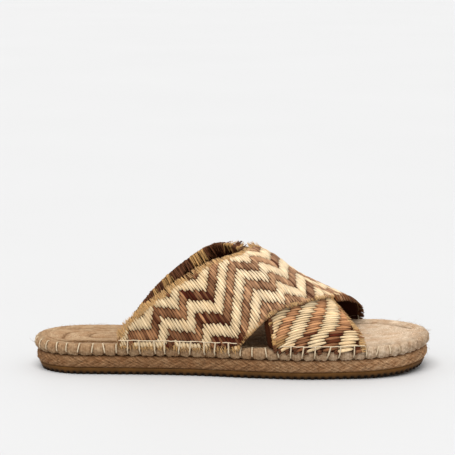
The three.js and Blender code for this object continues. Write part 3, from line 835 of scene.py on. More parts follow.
def make_lining(strap, finish):
    """The cloth wall behind the floats: a closed shell between two offsets of the strap's middle
    surface, cut level at the feet and carried on a little past the under strap's rear edge where
    that is drawn back."""
    steps, places = 150, 40
    along = np.linspace(0.0, 1.0, steps)
    low, high, used, lengths = strap.strand_widths(along)
    keep = used & (high - low > 1.5)
    along, low, high, lengths = along[keep], low[keep], high[keep], lengths[keep]
    if strap is UNDER:
        reach = 1.4 * smooth((0.95 - along) / 0.03) + 2.2 * smooth((0.935 - along) / 0.025)
        low = low - reach * smooth((along - 0.8) / 0.05)
    steps = len(along)
    share = np.linspace(0, 1, places)
    at = low[:, None] + (high - low)[:, None] * share
    place = along_lengths(lengths, np.arange(steps), at)
    p, normal = strap.surface(along[:, None] + np.zeros_like(place), place)[:2]
    rim = np.minimum(share, share[::-1]) * 12
    outside = p + normal * (LINING_EDGE + LINING_RISE * np.minimum(rim, 1.0))[None, :, None]
    inside = p - normal * LINING_DEPTH
    loop = np.concatenate([outside, inside[:, ::-1]], 1)
    columns = loop.shape[1]
    first = np.arange(places - 1)
    cap = np.stack([first, columns - 1 - first, columns - 2 - first, first + 1], -1)
    far_cap = cap[:, (1, 0, 3, 2)] + (steps - 1) * columns
    faces = np.concatenate([wrapped_faces(steps, columns), cap, far_cap])
    if strap.rear_inner:
        faces = faces[:, ::-1]
    down = np.concatenate([at, at[:, ::-1]], 1)
    over = np.broadcast_to((along * strap.rear_span)[:, None], down.shape)
    new_mesh(f"strap_{strap.name}_lining", loop, faces.tolist(), finish, ("upper",),
             uv=np.stack([over, down], -1))


def fringe_roots(strap, weave, side, fibres, rng):
    """Where the split fibres of one long edge leave the weave, and how they run: a dict of arrays,
    a row for each fibre. reach is the length past the weave in mm, splay the slope along the edge
    and turn_in the angle in radians turned round the edge at the tip."""
    strands = int(round(strap.rear_span / weave.strand_pitch))
    base = (np.arange(strands) + 0.5) / strands
    low, high, used, lengths = strap.strand_widths(base)
    over, rear = strap is OVER, side == "rear"
    hem = rear and not over
    edge, sign = (low, -1) if rear else (high, 1)
    mean, turn_in = FRINGES[strap.name][side]
    row = np.repeat(np.arange(strands)[used], fibres)
    count = len(row)
    lane = np.tile((np.arange(fibres) + 0.5) / fibres - 0.5, used.sum())
    along = base[row] + (lane + rng.uniform(-0.1, 0.1, count)) / strands
    overlap = rng.uniform(1.2, 2.4, count)
    place = along_lengths(lengths, row, (edge[row] - sign * overlap)[:, None])[:, 0]
    p, normal, strand, sideways, across, x = strap.surface(along, place)
    tip = along_lengths(lengths, row, edge[row][:, None])[:, 0]
    tip_across = strap.surface(along, tip)[4]
    foot = (tip_across < 0.012) | (tip_across > 0.988)
    corner = rear & (along < CORNER)
    near_foot = hem & (along > NEAR_FOOT)
    far_front = over & (not rear) & (along > FAR_FRONT)
    standing = over & rear & (np.abs(along - STANDING_TUFT) < STANDING_HALF)
    tuft = np.repeat(rng.normal(0, 0.02 if hem else 0.12, strands)[used], fibres)
    tuft = np.where(far_front, 0.15 * tuft, tuft)
    stray = (rng.uniform(0, 1, count) < 0.04) & rear & (along < STRAYS)
    reach = np.where(foot, FOOT_REACH, np.where(far_front, FAR_FRONT_REACH, mean))
    reach = reach * rng.uniform(0.75, 1.12, count)
    reach = reach * np.where(corner, 1.35, 1.0) * np.where(corner & (along < CORNER_TIP), 1.5, 1.0)
    reach = np.where(near_foot, NEAR_FOOT_REACH, reach) * np.where(standing, 1.5, 1.0)
    splay = tuft + rng.normal(0, 0.06, count) * np.where(corner | foot | stray, 2.6, 1.0)
    turn_in = np.where(foot | stray, 0.1, np.where(far_front, 0.5, turn_in))
    turn_in = np.where(near_foot, 2.4, turn_in)
    return {
        "p": p, "normal": normal, "out": strand * sign, "sideways": sideways, "overlap": overlap,
        "reach": reach, "splay": splay, "turn_in": turn_in * rng.uniform(0.75, 1.2, count),
        "at": edge[row], "along": along, "across": across, "x": x, "far_front": far_front,
        "standing": standing * rng.uniform(0.3, 1.0, count),
        "hem": np.full(count, hem), "rear": np.full(count, rear),
    }


def fringe_dye(strap, weave, f, rng, colours):
    """Colour of each split fibre: the colour of its float, faded to golden. At the over strap's rear
    most brown is kept in two tufts only, both rear edges start brown, and the over strap's far
    front is dark. The hem, which is the under strap's rear, has wide dark and golden bands."""
    count = len(f["at"])
    middle = np.interp(f["along"], strap.zigzag[:, 0], strap.zigzag[:, 1])
    period = weave.stripe_period
    phase = np.mod(f["at"] - middle + period / 2, period) - period / 2
    striped = np.abs(phase) < weave.brown_length / 2
    tufted = np.min([np.abs(f["along"] - place) for place in BROWN_TUFTS], axis=0) < 0.014
    kept = np.where(f["rear"] & (strap is OVER), np.where(tufted, 0.85, 0.12), 0.6)
    brown = (striped & (rng.uniform(0, 1, count) < kept)) | f["far_front"]
    brown = brown | ((f["along"] < 0.032) & f["rear"] & (rng.uniform(0, 1, count) < 0.85))
    banded = wander(f["along"] * strap.rear_span, 27, 26.0) + rng.normal(0, 0.06, count) > -0.1
    dye = dye_of(strap, f["along"], brown, np.zeros(count), f["at"], rng, colours)
    golden, rosy, dark = (np.array(c[:3]) for c in (colours.golden, colours.rosy, colours.dark))
    warm = (np.where(brown, 0.25, 0.9) * rng.uniform(0.3, 1, count))[:, None]
    dye = dye * (1 - warm) + golden * warm
    hem_dye = np.where(banded[:, None], 0.8 * dark + 0.16 * rosy, 0.85 * golden)
    dye = np.where(f["hem"][:, None], hem_dye * rng.normal(1, 0.06, (count, 1)), dye)
    deep = f["far_front"] & (wander(f["along"] * strap.rear_span, 29, 7.0) > -0.2)
    return np.clip(dye * np.where(deep[:, None], (0.46, 0.29, 0.2), (1.0, 1.0, 1.0)), 0, 1)


def make_fringe(strap, weave, colours, finish):
    """Split raffia at both long edges and at the feet: flat tapered ribbons that carry on each
    strand and turn round the edge. At a length d along a ribbon its heading is out * cos(a) -
    normal * sin(a), with a rising smoothly to the turn past the edge, and the middle line is the
    running sum of the headings."""
    rng = np.random.default_rng(23 if strap.rear_inner else 19)
    rings, sides, fine, fibres, bend_length = 8, 4, 29, 8, 2.6
    both = [fringe_roots(strap, weave, side, fibres, rng) for side in ("rear", "front")]
    f = {name: np.concatenate([part[name] for part in both]) for name in both[0]}
    if strap is UNDER:
        shown = hidden_by_over(f["across"], f["x"]) < FIBRES_UNDER
        f = {name: values[shown] for name, values in f.items()}
    count = len(f["at"])
    d = (f["overlap"] + f["reach"])[:, None] * np.linspace(0, 1, fine)
    heading = f["turn_in"][:, None] * smooth((d - f["overlap"][:, None] * 0.7) / bend_length)
    heading = heading - 1.1 * f["standing"][:, None] * np.linspace(0, 1, fine)
    step = np.diff(d, axis=1, prepend=0)
    pick = np.linspace(0, fine - 1, rings).astype(int)
    ahead, inwards = (np.cumsum(turned * step, 1)[:, pick, None]
                      for turned in (np.cos(heading), np.sin(heading)))
    t = np.linspace(0, 1, rings)
    level = rng.uniform(0.3, 0.95, (count, 1, 1))
    curl = rng.normal(0, 0.28, (count, 1, 1)) * t[:, None] ** 2
    line = (f["p"][:, None] + f["out"][:, None] * ahead + f["normal"][:, None] * (level - inwards)
            + f["sideways"][:, None] * (f["splay"][:, None, None] * d[:, pick, None] + curl))
    ribbon = weave.fringe_width / 2 * rng.uniform(0.7, 1.5, (count, 1))
    ribbon = ribbon * np.where(f["hem"], 2.8, np.where(f["far_front"], 2.0, 1.0))[:, None]
    taper = 1 - 0.55 * t**2
    turn = turns(sides)
    head = heading[:, pick, None]
    face = f["normal"][:, None] * np.cos(head) + f["out"][:, None] * np.sin(head)
    flat = (ribbon * taper)[..., None] * np.cos(turn)
    thick = (0.11 * taper)[:, None] * np.sin(turn) + rng.normal(0, 0.35, (count, 1, 1)) * flat
    dye = fringe_dye(strap, weave, f, rng, colours)
    shift = rng.uniform(0, 90, (count, 1, 1))
    # Painted shade: lift darkens each fibre towards its root at the weave
    tube_piece(f"strap_{strap.name}_fringe",
               sections(line, f["sideways"][:, None], flat, face, thick), finish,
               (turn / 6 + shift, 4 * t[:, None] + shift), 0.7 + 0.3 * t[:, None], dye, ("upper",))


# Sole


RIM_SECTION = np.array([
    (0.2, 0), (0.03, 0.22), (0, 0.45), (0.05, 0.67), (0.2, 0.88), (0.45, 1), (0.75, 0.95),
    (0.96, 0.77), (1, 0)])


def rim_section(count):
    """The rim's closed section resampled evenly: inward and up in mm, the outward direction of the
    section and the length along it from the outer bottom corner."""
    path = RIM_SECTION * (RIM_WIDTH, RIM_HEIGHT)
    fine = np.linspace(0, len(path) - 1, 600)
    curve = [read_table(np.arange(len(path)), path[:, k], fine) for k in (0, 1)]
    return evenly(np.concatenate([np.stack(curve, -1), path[:1]]), count)


def lobes(s, r, pitch, slant, seed):
    """Rounded lobes of a braid: ridges across s that lean with r, (1 - |2 frac - 1|^2.6)."""
    phase = (s + slant * r) / pitch + 0.18 * wander(s, seed, 23.0)
    share = np.mod(phase, 1.0)
    return 1 - np.abs(2 * share - 1) ** 2.6


def stitch_places(pitch):
    """Lengths along the outline of the blanket stitches, a little uneven."""
    count = int(round(AROUND / pitch))
    rng = np.random.default_rng(5)
    return (np.arange(count) + 0.5 + rng.uniform(-0.12, 0.12, count)) * AROUND / count


def stitch_dips(s, sole):
    """1 at a stitch, falling to 0 between: a sum of bells 1.1 mm wide. Also how far each place is
    from its nearest stitch, 1 halfway to the next."""
    apart = np.abs(s[..., None] - stitch_places(sole.stitch_pitch))
    apart = np.minimum(apart, AROUND - apart)
    dips = np.exp(-((apart / 1.1) ** 2)).sum(-1)
    return dips, np.clip(apart.min(-1) / (sole.stitch_pitch / 2), 0, 1)


def rim_relief(s, r, sole):
    """Relief of the rim in mm at length s round the outline and r round the section, and how open
    to light each place is. The side shows uneven upright lobes pinched by the stitches, the top
    long flat streaks; the stitches sink into the fuzz towards the toe."""
    side = smooth((10.5 - r) / 3.0)
    warp = 1.1 * wander(s + 1.3 * r, 21, 15.0)
    upright = lobes(s + warp, r, sole.braid_pitch * 0.52, 0.25, 3)
    braid = lobes(s - warp, r - 5, sole.braid_pitch * 1.2, -0.9, 4)
    patchy = 0.65 + 0.35 * wander(s + 2 * r, 22, 12.0)
    dip, away = stitch_dips(s[0], sole)
    toe = toe_share(s[0])
    puff = np.sqrt(np.clip(1 - (1 - away) ** 2, 0, 1)) * (1 - 0.6 * toe)
    dip = dip * (1 - 0.75 * toe)
    top = lobes(r + 0.5 * wander(s, 8, 31.0), s, 2.3, 0.035, 6)
    relief = side * (patchy * (0.26 * upright + 0.34 * braid) + 0.42 * puff[None] - 0.6 * dip[None])
    relief = relief + (1 - side) * (0.26 * top + 0.1 * braid)
    rough = 0.2 * wander(s + 2.1 * r, 13, 5.0) + 0.16 * wander(s - 1.7 * r, 14, 3.3)
    relief = relief - 0.42 + rough * (0.45 + 0.55 * side)
    # Painted shade in lift: darker in the valleys of the relief, over the whole side than on the top
    # (0.78), and on the rim's inner wall except where the rim runs into the footbed
    crown = 0.82 + 0.5 * (relief + 0.3)
    hollow = np.maximum(smooth((21.5 - r) / 2.5), 0.9 * tucked_at(s))
    lift = np.clip(side * 0.78 * (relief + 0.85) / 1.1 + (1 - side) * crown * hollow, 0, 1)
    return relief - rim_pressed(s) * (1 - side), lift


def rim_pressed(s):
    """How far in mm the rim's top is pressed down: a bell at the gap between the straps' outer
    feet, and a band along the outer side of the heel."""
    points, _, at = outline(2000)
    notch = at[np.argmin(np.abs(points[:, 0] - NOTCH_X) + 1000 * (points[:, 1] > 0))]
    bell = np.exp(-(((s - notch) / NOTCH_LENGTH) ** 2))
    return NOTCH_DIP * bell + HEEL_DIP * band(s - AROUND / 2, *HEEL_PRESSED)


def tucked_at(s):
    """1 where the rim and the footbed run into each other, round the back of the heel and on the
    outer side of the toe, and 0 elsewhere."""
    heel = smooth(1.6 * (1 - np.abs(s - AROUND / 2 + 6) / 34))
    toe = smooth((s - AROUND + 105) / 30) + smooth((12 - s) / 12)
    return np.clip(heel + toe, 0, 1)


def toe_share(s):
    """0 along the heel and sides, rising smoothly to 1 on the way from 75 to 15 mm of outline
    before the toe's tip."""
    return smooth((75 - np.minimum(s, AROUND - s)) / 60)


def make_rim(sole, finish):
    """The rim rope: its section is carried round the outline and moved out, along its own outward
    direction, by the relief. Its grain runs upright on the side and along the edge on top."""
    section, outward, r = rim_section(40)
    section = section + (0, RIM_BASE)
    points, inward, s = outline(1500)
    s, r = np.meshgrid(s, r)
    relief, lift = rim_relief(s, r, sole)
    inset, height = (section[:, k, None] + outward[:, k, None] * relief for k in (0, 1))
    side = smooth((11.0 - r) / 2.0)
    new_mesh("rim_rope_braid", ring_at(points[None], inward[None], inset, height),
             wrapped_faces(*s.shape, closed_rows=True), finish, ("rim_rope",),
             uv=np.stack([side * r + (1 - side) * s, side * s + (1 - side) * r], -1),
             values={"lift": lift})


def slab(name, rings, finish, replaced, lift, grain):
    """A closed slab from a stack of rings, from the bottom up, that starts and ends in a core line."""
    rings = rings[::-1]
    new_mesh(name, rings, wrapped_faces(*rings.shape[:2]), finish, replaced,
             uv=np.stack(np.broadcast_arrays(*grain), -1)[::-1], values={"lift": lift[::-1]},
             merge=0.02)


def make_tier(sole, finish):
    """Lower jute layer: its side bulges by inset = base + bulge (2 up - 1)^2 and carries two rows
    of slanted braid lobes that meet in a chevron."""
    count, rows, deep, pitch = 1500, 24, 8.0, sole.braid_pitch * 1.5
    points, inward, s = outline(count)
    up = np.linspace(0, 1, rows)[:, None]
    r = up * TIER_HEIGHT
    s = np.broadcast_to(s, (rows, count))
    warp = 1.5 * wander(s + 1.9 * r, 34, 13.0)
    upper = lobes(s + warp, r, pitch, 1.25, 31)
    lower = lobes(s - warp + 2.1, r, pitch, -1.25, 33)
    middle = 0.5 + 0.1 * wander(s, 35, 21.0)
    blend = smooth((up - middle + 0.16) / 0.32)
    seam = np.exp(-(((up - middle) * TIER_HEIGHT) / 0.7) ** 2)
    patchy = 0.6 + 0.4 * wander(s - 2.2 * r, 38, 11.0)
    relief = patchy * (0.58 * (blend * upper + (1 - blend) * lower) - 0.22 * seam) - 0.36
    relief = relief + 0.2 * wander(s + 2.1 * r, 36, 5.0) + 0.16 * wander(s - 1.8 * r, 37, 3.2)
    inset = TIER_INSET + TIER_BULGE * (2 * up - 1) ** 2
    inset = inset - relief * smooth(8 * up) * smooth(8 * (1 - up))
    top = TIER_BASE + TIER_HEIGHT
    rings = np.concatenate([
        core_ring(points, TIER_BASE)[None], ring_at(points, inward, deep, TIER_BASE)[None],
        ring_at(points[None], inward[None], inset, TIER_BASE + r),
        ring_at(points, inward, deep, top)[None], core_ring(points, top)[None]])
    flat = np.full((2, count), 0.5)
    # Painted shade: lift darkens the braid's valleys and the tier's top and bottom edges, where it
    # meets the rim and the rubber
    lift = np.clip((relief + 0.75) / 0.95, 0, 1) * smooth(5 * up + 0.2) * smooth(5 * (1 - up) + 0.15)
    r = np.concatenate([np.full((2, 1), -2.0), r, np.full((2, 1), 12.0)])
    lean = np.where(r > TIER_HEIGHT / 2, 0.9, -0.9)
    slab("lower_jute_braid", rings, finish, ("lower_jute",),
         np.concatenate([flat, lift, flat]), (r + s[:1] * 0.75, s[:1] * lean + r))


def make_footbed(finish):
    """Coiled footbed: rings between the core line and the edge, each turn of braid crowned, with a
    groove between turns and low slanted lobes along each turn. The edge runs out over the rim
    where the two are joined, and a rut follows it on the toe's far side. lift is painted shade:
    dark in the grooves, in the rut, under the straps and along the outer side of the heel."""
    count, steps = 820, 60
    points, inward, s = outline(count)
    past_heel = s - AROUND / 2
    near_toe = smooth((s - AROUND + 80) / 25) + smooth((12 - s) / 8)
    joined_rim = np.clip(np.maximum(band(past_heel, *HEEL_JOINED), near_toe), 0, 1)
    tuck = np.maximum(tucked_at(s), joined_rim)
    edge = ring_at(points, inward, FOOTBED_EDGE - 0.9 * tuck - 1.6 * joined_rim, FOOTBED_TOP)
    core = core_ring(points, FOOTBED_TOP)
    share = np.linspace(1, 0, steps)[:, None]
    top = core[None] + (edge - core)[None] * share[..., None]
    inner_turn, outer_turn = FOOTBED_TURNS
    outer_turn = outer_turn + (0.97 - outer_turn) * band(past_heel, 0, AROUND / 2, 45, 60)
    low = np.where(share < inner_turn, 0.0, np.where(share < outer_turn, inner_turn, outer_turn))
    high = np.where(share < inner_turn, inner_turn, np.where(share < outer_turn, outer_turn, 1.0))
    within = (share - low) / (high - low)
    crown = 1 - np.abs(2 * within - 1) ** 6
    s_grid, width = np.broadcast_arrays(s, within * 11)
    braid = lobes(s_grid * 0.9, np.abs(width - 5.5), 6.5, 1.1, 41)
    streak = lobes(width + 0.5 * wander(s_grid, 43, 40.0), s_grid, 2.2, 0.02, 44)
    hollow = 0.85 - 0.78 * smooth((top[..., 0] - 20) / 50)
    relief = hollow * (crown - 1) + (0.14 * braid + 0.16 * streak) * crown
    relief = relief + 0.1 * wander(s_grid + 5 * width, 45, 9.0)
    tucked = tuck * smooth((share - 0.84) / 0.12)
    rut = band(s, *TOE_RUT) * smooth((share - 0.9) / 0.07)
    relief = relief * (1 - tucked) + 0.95 * tucked - 0.8 * rut
    top[..., 2] += relief
    foot = ring_at(points, inward, FOOTBED_EDGE, RIM_BASE)[None]
    shaded = smooth((share - 0.8) / 0.12) * band(past_heel, *HEEL_SHADED)
    # Painted shade in lift: darker in the grooves between turns, under the straps, along the heel's
    # outer side next to the rim, and in the rut
    lift = np.clip(relief + 0.8, 0, 1) * (1 - 0.8 * band(top[..., 0], *STRAP_SHADE))
    lift = lift * (1 - shaded) * (1 - 0.8 * rut)
    slab("footbed_coil", np.concatenate([core_ring(points, RIM_BASE)[None], foot, top]), finish,
         ("footbed",), np.concatenate([np.zeros((2, count)), lift]),
         (s, np.concatenate([np.zeros((2, 1)), share * 33])))


def make_rubber(finish):
    """Rubber bottom: its side leans out to the top, the lower edge is notched by ribs, and the
    ground side has cross ribs that fade out near the edge."""
    count = int(round(AROUND / RUBBER_RIB_PITCH)) * RIB_POINTS
    points, inward, s = outline(count)
    phase = np.mod(np.arange(count) / RIB_POINTS, 1.0)
    notch = smooth(1.5 * (1 - np.abs(phase - 0.5) / 0.36))
    up = np.linspace(0, 1, 7)[:, None]
    fade = smooth(1.6 * (1 - up * RUBBER_HEIGHT / (RUBBER_RIB_HEIGHT + 0.7)))
    inset = RUBBER_BOTTOM_INSET + (RUBBER_TOP_INSET - RUBBER_BOTTOM_INSET) * up
    side = ring_at(points[None], inward[None], inset + RUBBER_RIB_DEPTH * notch * fade,
                   RUBBER_HEIGHT * up)
    core = core_ring(points, 0.0)
    share = np.linspace(0, 1, 22)[:-1][:, None]
    ground = core[None] + (side[0] - core)[None] * share[..., None]
    groove = smooth(1 - np.abs(np.mod(ground[..., 0] / GROUND_RIB_PITCH, 1.0) - 0.5) / 0.22)
    groove = groove * smooth((1 - share) * np.linalg.norm(side[0] - core, axis=1) / 5.0 - 0.5)
    ground[..., 2] += GROUND_RIB_DEPTH * groove
    rings = np.concatenate([ground, side, core_ring(points, RUBBER_HEIGHT)[None]])
    # Painted shade in lift: the side darkens towards the ground like a contact shadow, the rib notches
    # go nearly black, and the ground ribs' grooves are darker
    painted_contact_shade = 0.12 + 0.88 * smooth((up - 0.12) * 1.6)
    lift = np.concatenate([1 - 0.8 * groove, painted_contact_shade * (1 - notch * fade), np.ones((1, count))])
    slab("rubber_bottom", rings, finish, ("outsole",), lift, (s, rings[..., 2]))


def thread_piece(name, line, face, radius, lay, sides, fibre, finish):
    """Three-ply twisted thread along many lines at once. line is (threads, rings, 3) and lay the
    turn in radians at each ring; the radius swells by |cos| between plies."""
    one, two = across_line(line, face)
    turn = turns(sides)
    ply = np.abs(np.cos((turn * 3 + lay[..., None]) / 2))
    size = radius[..., None] * (0.8 + 0.26 * ply)
    rings = sections(line, one, size * np.cos(turn), two, size * np.sin(turn))
    # The ply value is the lift: painted shade between the plies
    tube_piece(name, rings, finish, (np.arange(sides) * 0.4, fibre), ply)


def make_uprights(sole, finish):
    """Upright threads of the blanket stitch: each follows the rim's section and dives into the rope
    at both ends, or climbs straight to the bar where a strap's foot covers the rim."""
    rings = UPRIGHT_RINGS
    section, outward, r = rim_section(340)
    places = stitch_places(sole.stitch_pitch)
    outer = r < 12
    r_path = np.linspace(UPRIGHT_FROM, UPRIGHT_TO, rings)
    rng = np.random.default_rng(61)
    count = len(places)
    lean = rng.normal(0.0, 0.55, (count, 1)) * np.linspace(-1, 1, rings)
    xy, inward = on_outline(places[:, None] + lean)
    sec, out = (np.stack([np.interp(r_path, r[outer], v[outer, k]) for k in (0, 1)], -1)
                for v in (section, outward))
    share = np.linspace(0, 1, rings)
    dive = smooth(share * 6) * smooth(share[::-1] * 9)
    height = UPRIGHT_DIVE * (dive - 1)[None] - UPRIGHT_TOE_DIVE * toe_share(places)[:, None]
    cover, rise = (v[:, None] for v in strap_foot_cover(xy[:, rings // 2]))
    climb = UPRIGHT_FROM + RIM_BASE + (BAR_HEIGHT + rise - UPRIGHT_FROM) * share
    stood = 0.2 - 2.45 * smooth((climb - RIM_BASE - 2.2) / 2.2)
    inset = (sec[:, 0] + out[:, 0] * height) * (1 - cover) + stood * cover
    up = (RIM_BASE + sec[:, 1] + out[:, 1] * height) * (1 - cover) + climb * cover
    line = np.concatenate([xy + inward * inset[..., None],
                           up[..., None] + spring_at(xy[..., :1])], -1)
    face = np.concatenate([-inward, np.zeros((count, rings, 1))], -1) + 0.001
    lay = np.linspace(0, UPRIGHT_LENGTH / UPRIGHT_LAY * 2 * np.pi, rings)[None]
    lay = lay + rng.uniform(0, 6, (count, 1))
    radius = sole.thread_radius * rng.normal(1, 0.06, (count, 1)) * np.ones((count, rings))
    fibre = r_path[:, None] + rng.uniform(0, 50, (count, 1, 1))
    thread_piece("blanket_stitch_uprights", line, face, radius, lay, 9, fibre, finish)


def make_bar(sole, finish):
    """Bar of the blanket stitch: one thread along the rim's upper edge that climbs over the straps'
    feet and is partly sunk between them."""
    s = np.arange(BAR_STEPS + 1) / BAR_STEPS * AROUND
    xy, inward = on_outline(s)
    foot, rise = strap_foot_cover(xy)
    inset = BAR_INSET - BAR_OUT * foot + 0.35 * wander(s, 65, 9.0)
    up = RIM_BASE + BAR_HEIGHT - BAR_SUNK * (1 - foot) + rise + 0.25 * wander(s, 63, 19.0)
    up = up + spring_at(xy[:, 0])
    line = np.concatenate([xy + inward * inset[:, None], up[:, None]], -1)[None]
    radius = np.full((1, BAR_STEPS + 1), sole.thread_radius * BAR_SLIMNESS)
    thread_piece("blanket_stitch_bar", line, np.array([0.0, 0.0, 1.0]), radius,
                 (s / BAR_LAY * 2 * np.pi)[None], 8, s[None, :, None], finish)


def strap_foot_cover(xy):
    """How far a strap's foot lies over the rim's side at each point of the outline, 0 to 1 with
    soft ends, and how far in mm the bar of thread climbs on it."""
    x, y = xy[:, 0], xy[:, 1]
    cover, rise = np.zeros(len(x)), np.zeros(len(x))
    for strap, rear_side in ((OVER, -1), (UNDER, 1)):
        for end, side in ((0, rear_side), (-1, -rear_side)):
            rear = (strap.edges["rear"][end] - 0.5) * LENGTH
            front = (strap.edges["front"][end] - 0.5) * LENGTH
            inside = band(x, rear + 1, front + 3, 3, 3)
            inside = inside * (np.sign(y) == side)
            cover = np.maximum(cover, inside)
            rise = np.maximum(rise, inside * BAR_CLIMB[strap.name])
    return cover, rise


def make_hairs(sole, finish):
    """Loose jute hairs: thin curved tubes that stand off the rim, the tier and the footbed. Each is
    root + out * stand * length * t (1.6 - t), with one more parabola sideways and one upwards."""
    rng = np.random.default_rng(71)
    count, roots, rings, sides = sole.hair_count, 4000, 5, 3
    points, inward, _ = outline(roots)
    pick = rng.integers(0, roots, count)
    xy, inward = points[pick], inward[pick]
    kind = rng.uniform(0, 1, count)
    on_tier, on_top = kind < 0.3, kind > 0.62
    z = np.where(on_tier, rng.uniform(6.2, 12.2, count), rng.uniform(14.5, 21.0, count))
    inset = np.where(on_top, rng.uniform(1.5, 9.0, count), np.where(on_tier, 1.2, 0.2))
    z = np.where(on_top, 21.4, z)
    root = np.concatenate([xy + inward * inset[:, None], (z + spring_at(xy[:, 0]))[:, None]], -1)
    level = np.zeros((count, 1))
    out, up = np.concatenate([-inward, level], -1), np.array([0.0, 0.0, 1.0])
    face = np.where(on_top[:, None], up, out)
    other = np.where(on_top[:, None], out, up)
    side = np.concatenate([inward[:, 1:], -inward[:, :1], level], -1)
    length = rng.gamma(3.0, 0.7, count)[:, None, None]
    t = np.linspace(0, 1, rings)[None, :, None]
    a, b = rng.normal(0, 0.9, (2, count, 1, 1))
    c, d = rng.normal(0, 0.6, (2, count, 1, 1))
    stand = rng.uniform(0.15, 0.75, (count, 1, 1))
    line = (root[:, None] + face[:, None] * (stand * length * t * (1.6 - t) - 0.15)
            + side[:, None] * length * (a * t + c * t * t)
            + other[:, None] * length * (b * 0.5 * t + d * 0.5 * t * t))
    line[..., 2] = np.maximum(line[..., 2], TIER_BASE + 0.6)
    thick = rng.uniform(0.05, 0.11, (count, 1)) * (1 - 0.7 * np.linspace(0, 1, rings))
    turn = turns(sides)
    one, two = across_line(line, face[:, None] + 0.01)
    wide, tall = (thick[..., None] * v for v in (np.cos(turn), np.sin(turn)))
    shift = rng.uniform(0, 200, (count, 1, 1))
    tube_piece("jute_hairs", sections(line, one, wide, two, tall), finish,
               (shift + np.zeros((1, rings, 1)), shift * 0.3 + turn / 9), 0.95)


# Stage


def make_floor(scene):
    """Pale seamless floor: one wide square."""
    corners = [(x * FLOOR_REACH, y * FLOOR_REACH, 0) for x, y in ((-1, -1), (1, -1), (1, 1), (-1, 1))]
    mesh = bpy.data.meshes.new("studio_floor")
    mesh.from_pydata(corners, [], [(0, 1, 2, 3)])
    floor = bpy.data.objects.new("studio_floor", mesh)
    scene.collection.objects.link(floor)
    paint, tree, shader = blank_material("studio_paint", 0.6, 0.2)
    tone = mapped(tree, body_noise(tree, 3.0), 0.3, 0.7, 0.985, 1.0)
    grey = dimmed(tree, (FLOOR_GREY, FLOOR_GREY, FLOOR_GREY, 1.0), tone)
    tree.links.new(grey, shader.inputs["Base Color"])
    mesh.materials.append(paint)


def make_lights(scene):
    """White air all round, seen by the camera at a strength of its own, and one wide soft sun."""
    world = bpy.data.worlds.new("studio_air")
    world.use_nodes = True
    air = world.node_tree
    background = air.nodes["Background"]
    background.inputs["Color"].default_value = (1.0, 1.0, 1.0, 1.0)
    seen = node(air, "ShaderNodeLightPath").outputs["Is Camera Ray"]
    strength = mapped(air, seen, 0.0, 1.0, AIR_LIGHT, AIR_SEEN)
    air.links.new(strength, background.inputs["Strength"])
    scene.world = world
    sun = bpy.data.lights.new("soft_sun", "SUN")
    sun.energy, sun.angle = SUN_STRENGTH, math.radians(SUN_SPREAD)
    made = bpy.data.objects.new("soft_sun", sun)
    made.rotation_euler = (*(math.radians(angle) for angle in SUN_TILT), 0)
    scene.collection.objects.link(made)


def make_camera(scene):
    """The photo's camera: it looks along the pitch, and stands so that the shoe's origin falls on
    its pixel."""
    pitch, focal = math.radians(CAMERA_PITCH), CAMERA_DISTANCE / MM / MM_A_PIXEL
    right, below = ((pixel - PHOTO_PIXELS / 2) / focal for pixel in ORIGIN_PIXEL)
    forward = np.array([0, math.cos(pitch), -math.sin(pitch)])
    up = np.array([0, math.sin(pitch), math.cos(pitch)])
    lens = bpy.data.cameras.new("photo_camera")
    lens.sensor_width = SENSOR
    lens.lens = SENSOR * focal / PHOTO_PIXELS
    lens.clip_start, lens.clip_end = 0.05, 20
    camera = bpy.data.objects.new("photo_camera", lens)
    camera.location = -(forward + right * np.array([1.0, 0, 0]) - below * up) * CAMERA_DISTANCE
    camera.rotation_euler = (math.pi / 2 - pitch, 0, 0)
    scene.collection.objects.link(camera)
    scene.camera = camera
    scene.view_settings.view_transform = "Standard"


# Operators


class WeaveStraps(bpy.types.Operator):
    """Weaves both straps from dyed raffia floats over their cloth lining"""

    bl_idname = "espadrille.weave_straps"
    bl_label = "Weave the straps"

    def execute(self, context):
        weave, colours = context.scene.espadrille_weave, context.scene.espadrille_colours
        raffia, cloth = raffia_material(), lining_material(tuple(colours.lining))
        for strap in (OVER, UNDER):
            make_weave(strap, weave, colours, raffia)
            make_lining(strap, cloth)
        return {"FINISHED"}


class FrayEdges(bpy.types.Operator):
    """Leaves the raffia's loose ends along the straps' edges and feet"""

    bl_idname = "espadrille.fray_edges"
    bl_label = "Fray the edges"

    def execute(self, context):
        weave, colours = context.scene.espadrille_weave, context.scene.espadrille_colours
        raffia = bpy.data.materials["dyed_raffia"]
        for strap in (OVER, UNDER):
            make_fringe(strap, weave, colours, raffia)
        return {"FINISHED"}


class BraidSole(bpy.types.Operator):
    """Lays the rim rope, the lower tier and the coiled footbed in jute"""

    bl_idname = "espadrille.braid_sole"
    bl_label = "Braid the sole"

    def execute(self, context):
        sole, colours = context.scene.espadrille_sole, context.scene.espadrille_colours
        rim = jute_material("rim_jute", tuple(colours.jute), tuple(colours.jute_toe))
        make_rim(sole, rim)
        make_footbed(rim)
        make_tier(sole, jute_material("tier_jute", tuple(colours.tier), tuple(colours.tier_toe), 0.3))
        return {"FINISHED"}


class MouldRubber(bpy.types.Operator):
    """Moulds the ribbed rubber bottom"""

    bl_idname = "espadrille.mould_rubber"
    bl_label = "Mould the rubber bottom"

    def execute(self, context):
        make_rubber(rubber_material(tuple(context.scene.espadrille_colours.rubber)))
        return {"FINISHED"}


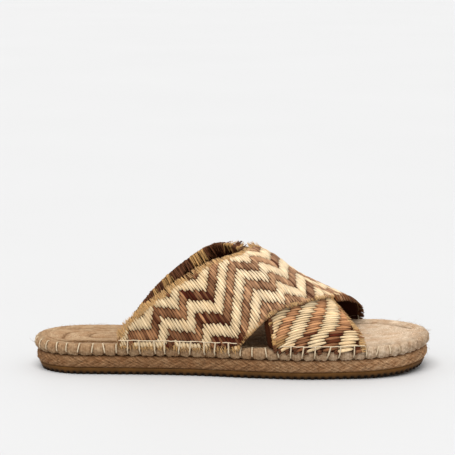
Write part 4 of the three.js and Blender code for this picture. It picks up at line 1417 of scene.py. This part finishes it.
class StitchRim(bpy.types.Operator):
    """Sews the blanket stitch round the rim"""

    bl_idname = "espadrille.stitch_rim"
    bl_label = "Sew the blanket stitch"

    def execute(self, context):
        colours = context.scene.espadrille_colours
        thread = thread_material(tuple(colours.thread))
        make_uprights(context.scene.espadrille_sole, thread)
        make_bar(context.scene.espadrille_sole, thread)
        return {"FINISHED"}


class LooseHairs(bpy.types.Operator):
    """Adds the loose hairs of the jute"""

    bl_idname = "espadrille.loose_hairs"
    bl_label = "Add jute hairs"

    def execute(self, context):
        make_hairs(context.scene.espadrille_sole, bpy.data.materials["rim_jute"])
        return {"FINISHED"}


class SetStage(bpy.types.Operator):
    """Sets the pale floor, the soft lights and the camera"""

    bl_idname = "espadrille.set_stage"
    bl_label = "Set the stage"

    def execute(self, context):
        for make in (make_floor, make_lights, make_camera):
            make(context.scene)
        return {"FINISHED"}


OPERATORS = (SetStage, WeaveStraps, FrayEdges, BraidSole, MouldRubber, StitchRim, LooseHairs)


class EspadrillePanel(bpy.types.Panel):
    """Sizes, colours and steps of the espadrille slide"""

    bl_idname = "VIEW3D_PT_espadrille"
    bl_label = "Espadrille slide"
    bl_space_type = "VIEW_3D"
    bl_region_type = "UI"
    bl_category = "Espadrille"

    def draw(self, context):
        for group in (context.scene.espadrille_weave, context.scene.espadrille_sole,
                      context.scene.espadrille_colours):
            box = self.layout.box()
            for name in group.__annotations__:
                box.prop(group, name)
        for step in OPERATORS:
            self.layout.operator(step.bl_idname)


GROUPS = (("espadrille_weave", WeaveSettings), ("espadrille_sole", SoleSettings),
          ("espadrille_colours", ColourSettings))


def register():
    """Registers the settings first, then the operators and the panel."""
    for _, group in GROUPS:
        bpy.utils.register_class(group)
    for name, group in GROUPS:
        setattr(bpy.types.Scene, name, bpy.props.PointerProperty(type=group))
    for made in (*OPERATORS, EspadrillePanel):
        bpy.utils.register_class(made)


def unregister():
    """Takes everything back in the opposite order."""
    for made in (EspadrillePanel, *reversed(OPERATORS)):
        bpy.utils.unregister_class(made)
    for name, group in reversed(GROUPS):
        delattr(bpy.types.Scene, name)
        bpy.utils.unregister_class(group)


def main():
    """Runs every operator in turn."""
    register()
    for step in OPERATORS:
        space, name = step.bl_idname.split(".")
        getattr(getattr(bpy.ops, space), name)()
    bpy.context.view_layer.update()


if __name__ == "__main__":
    main()
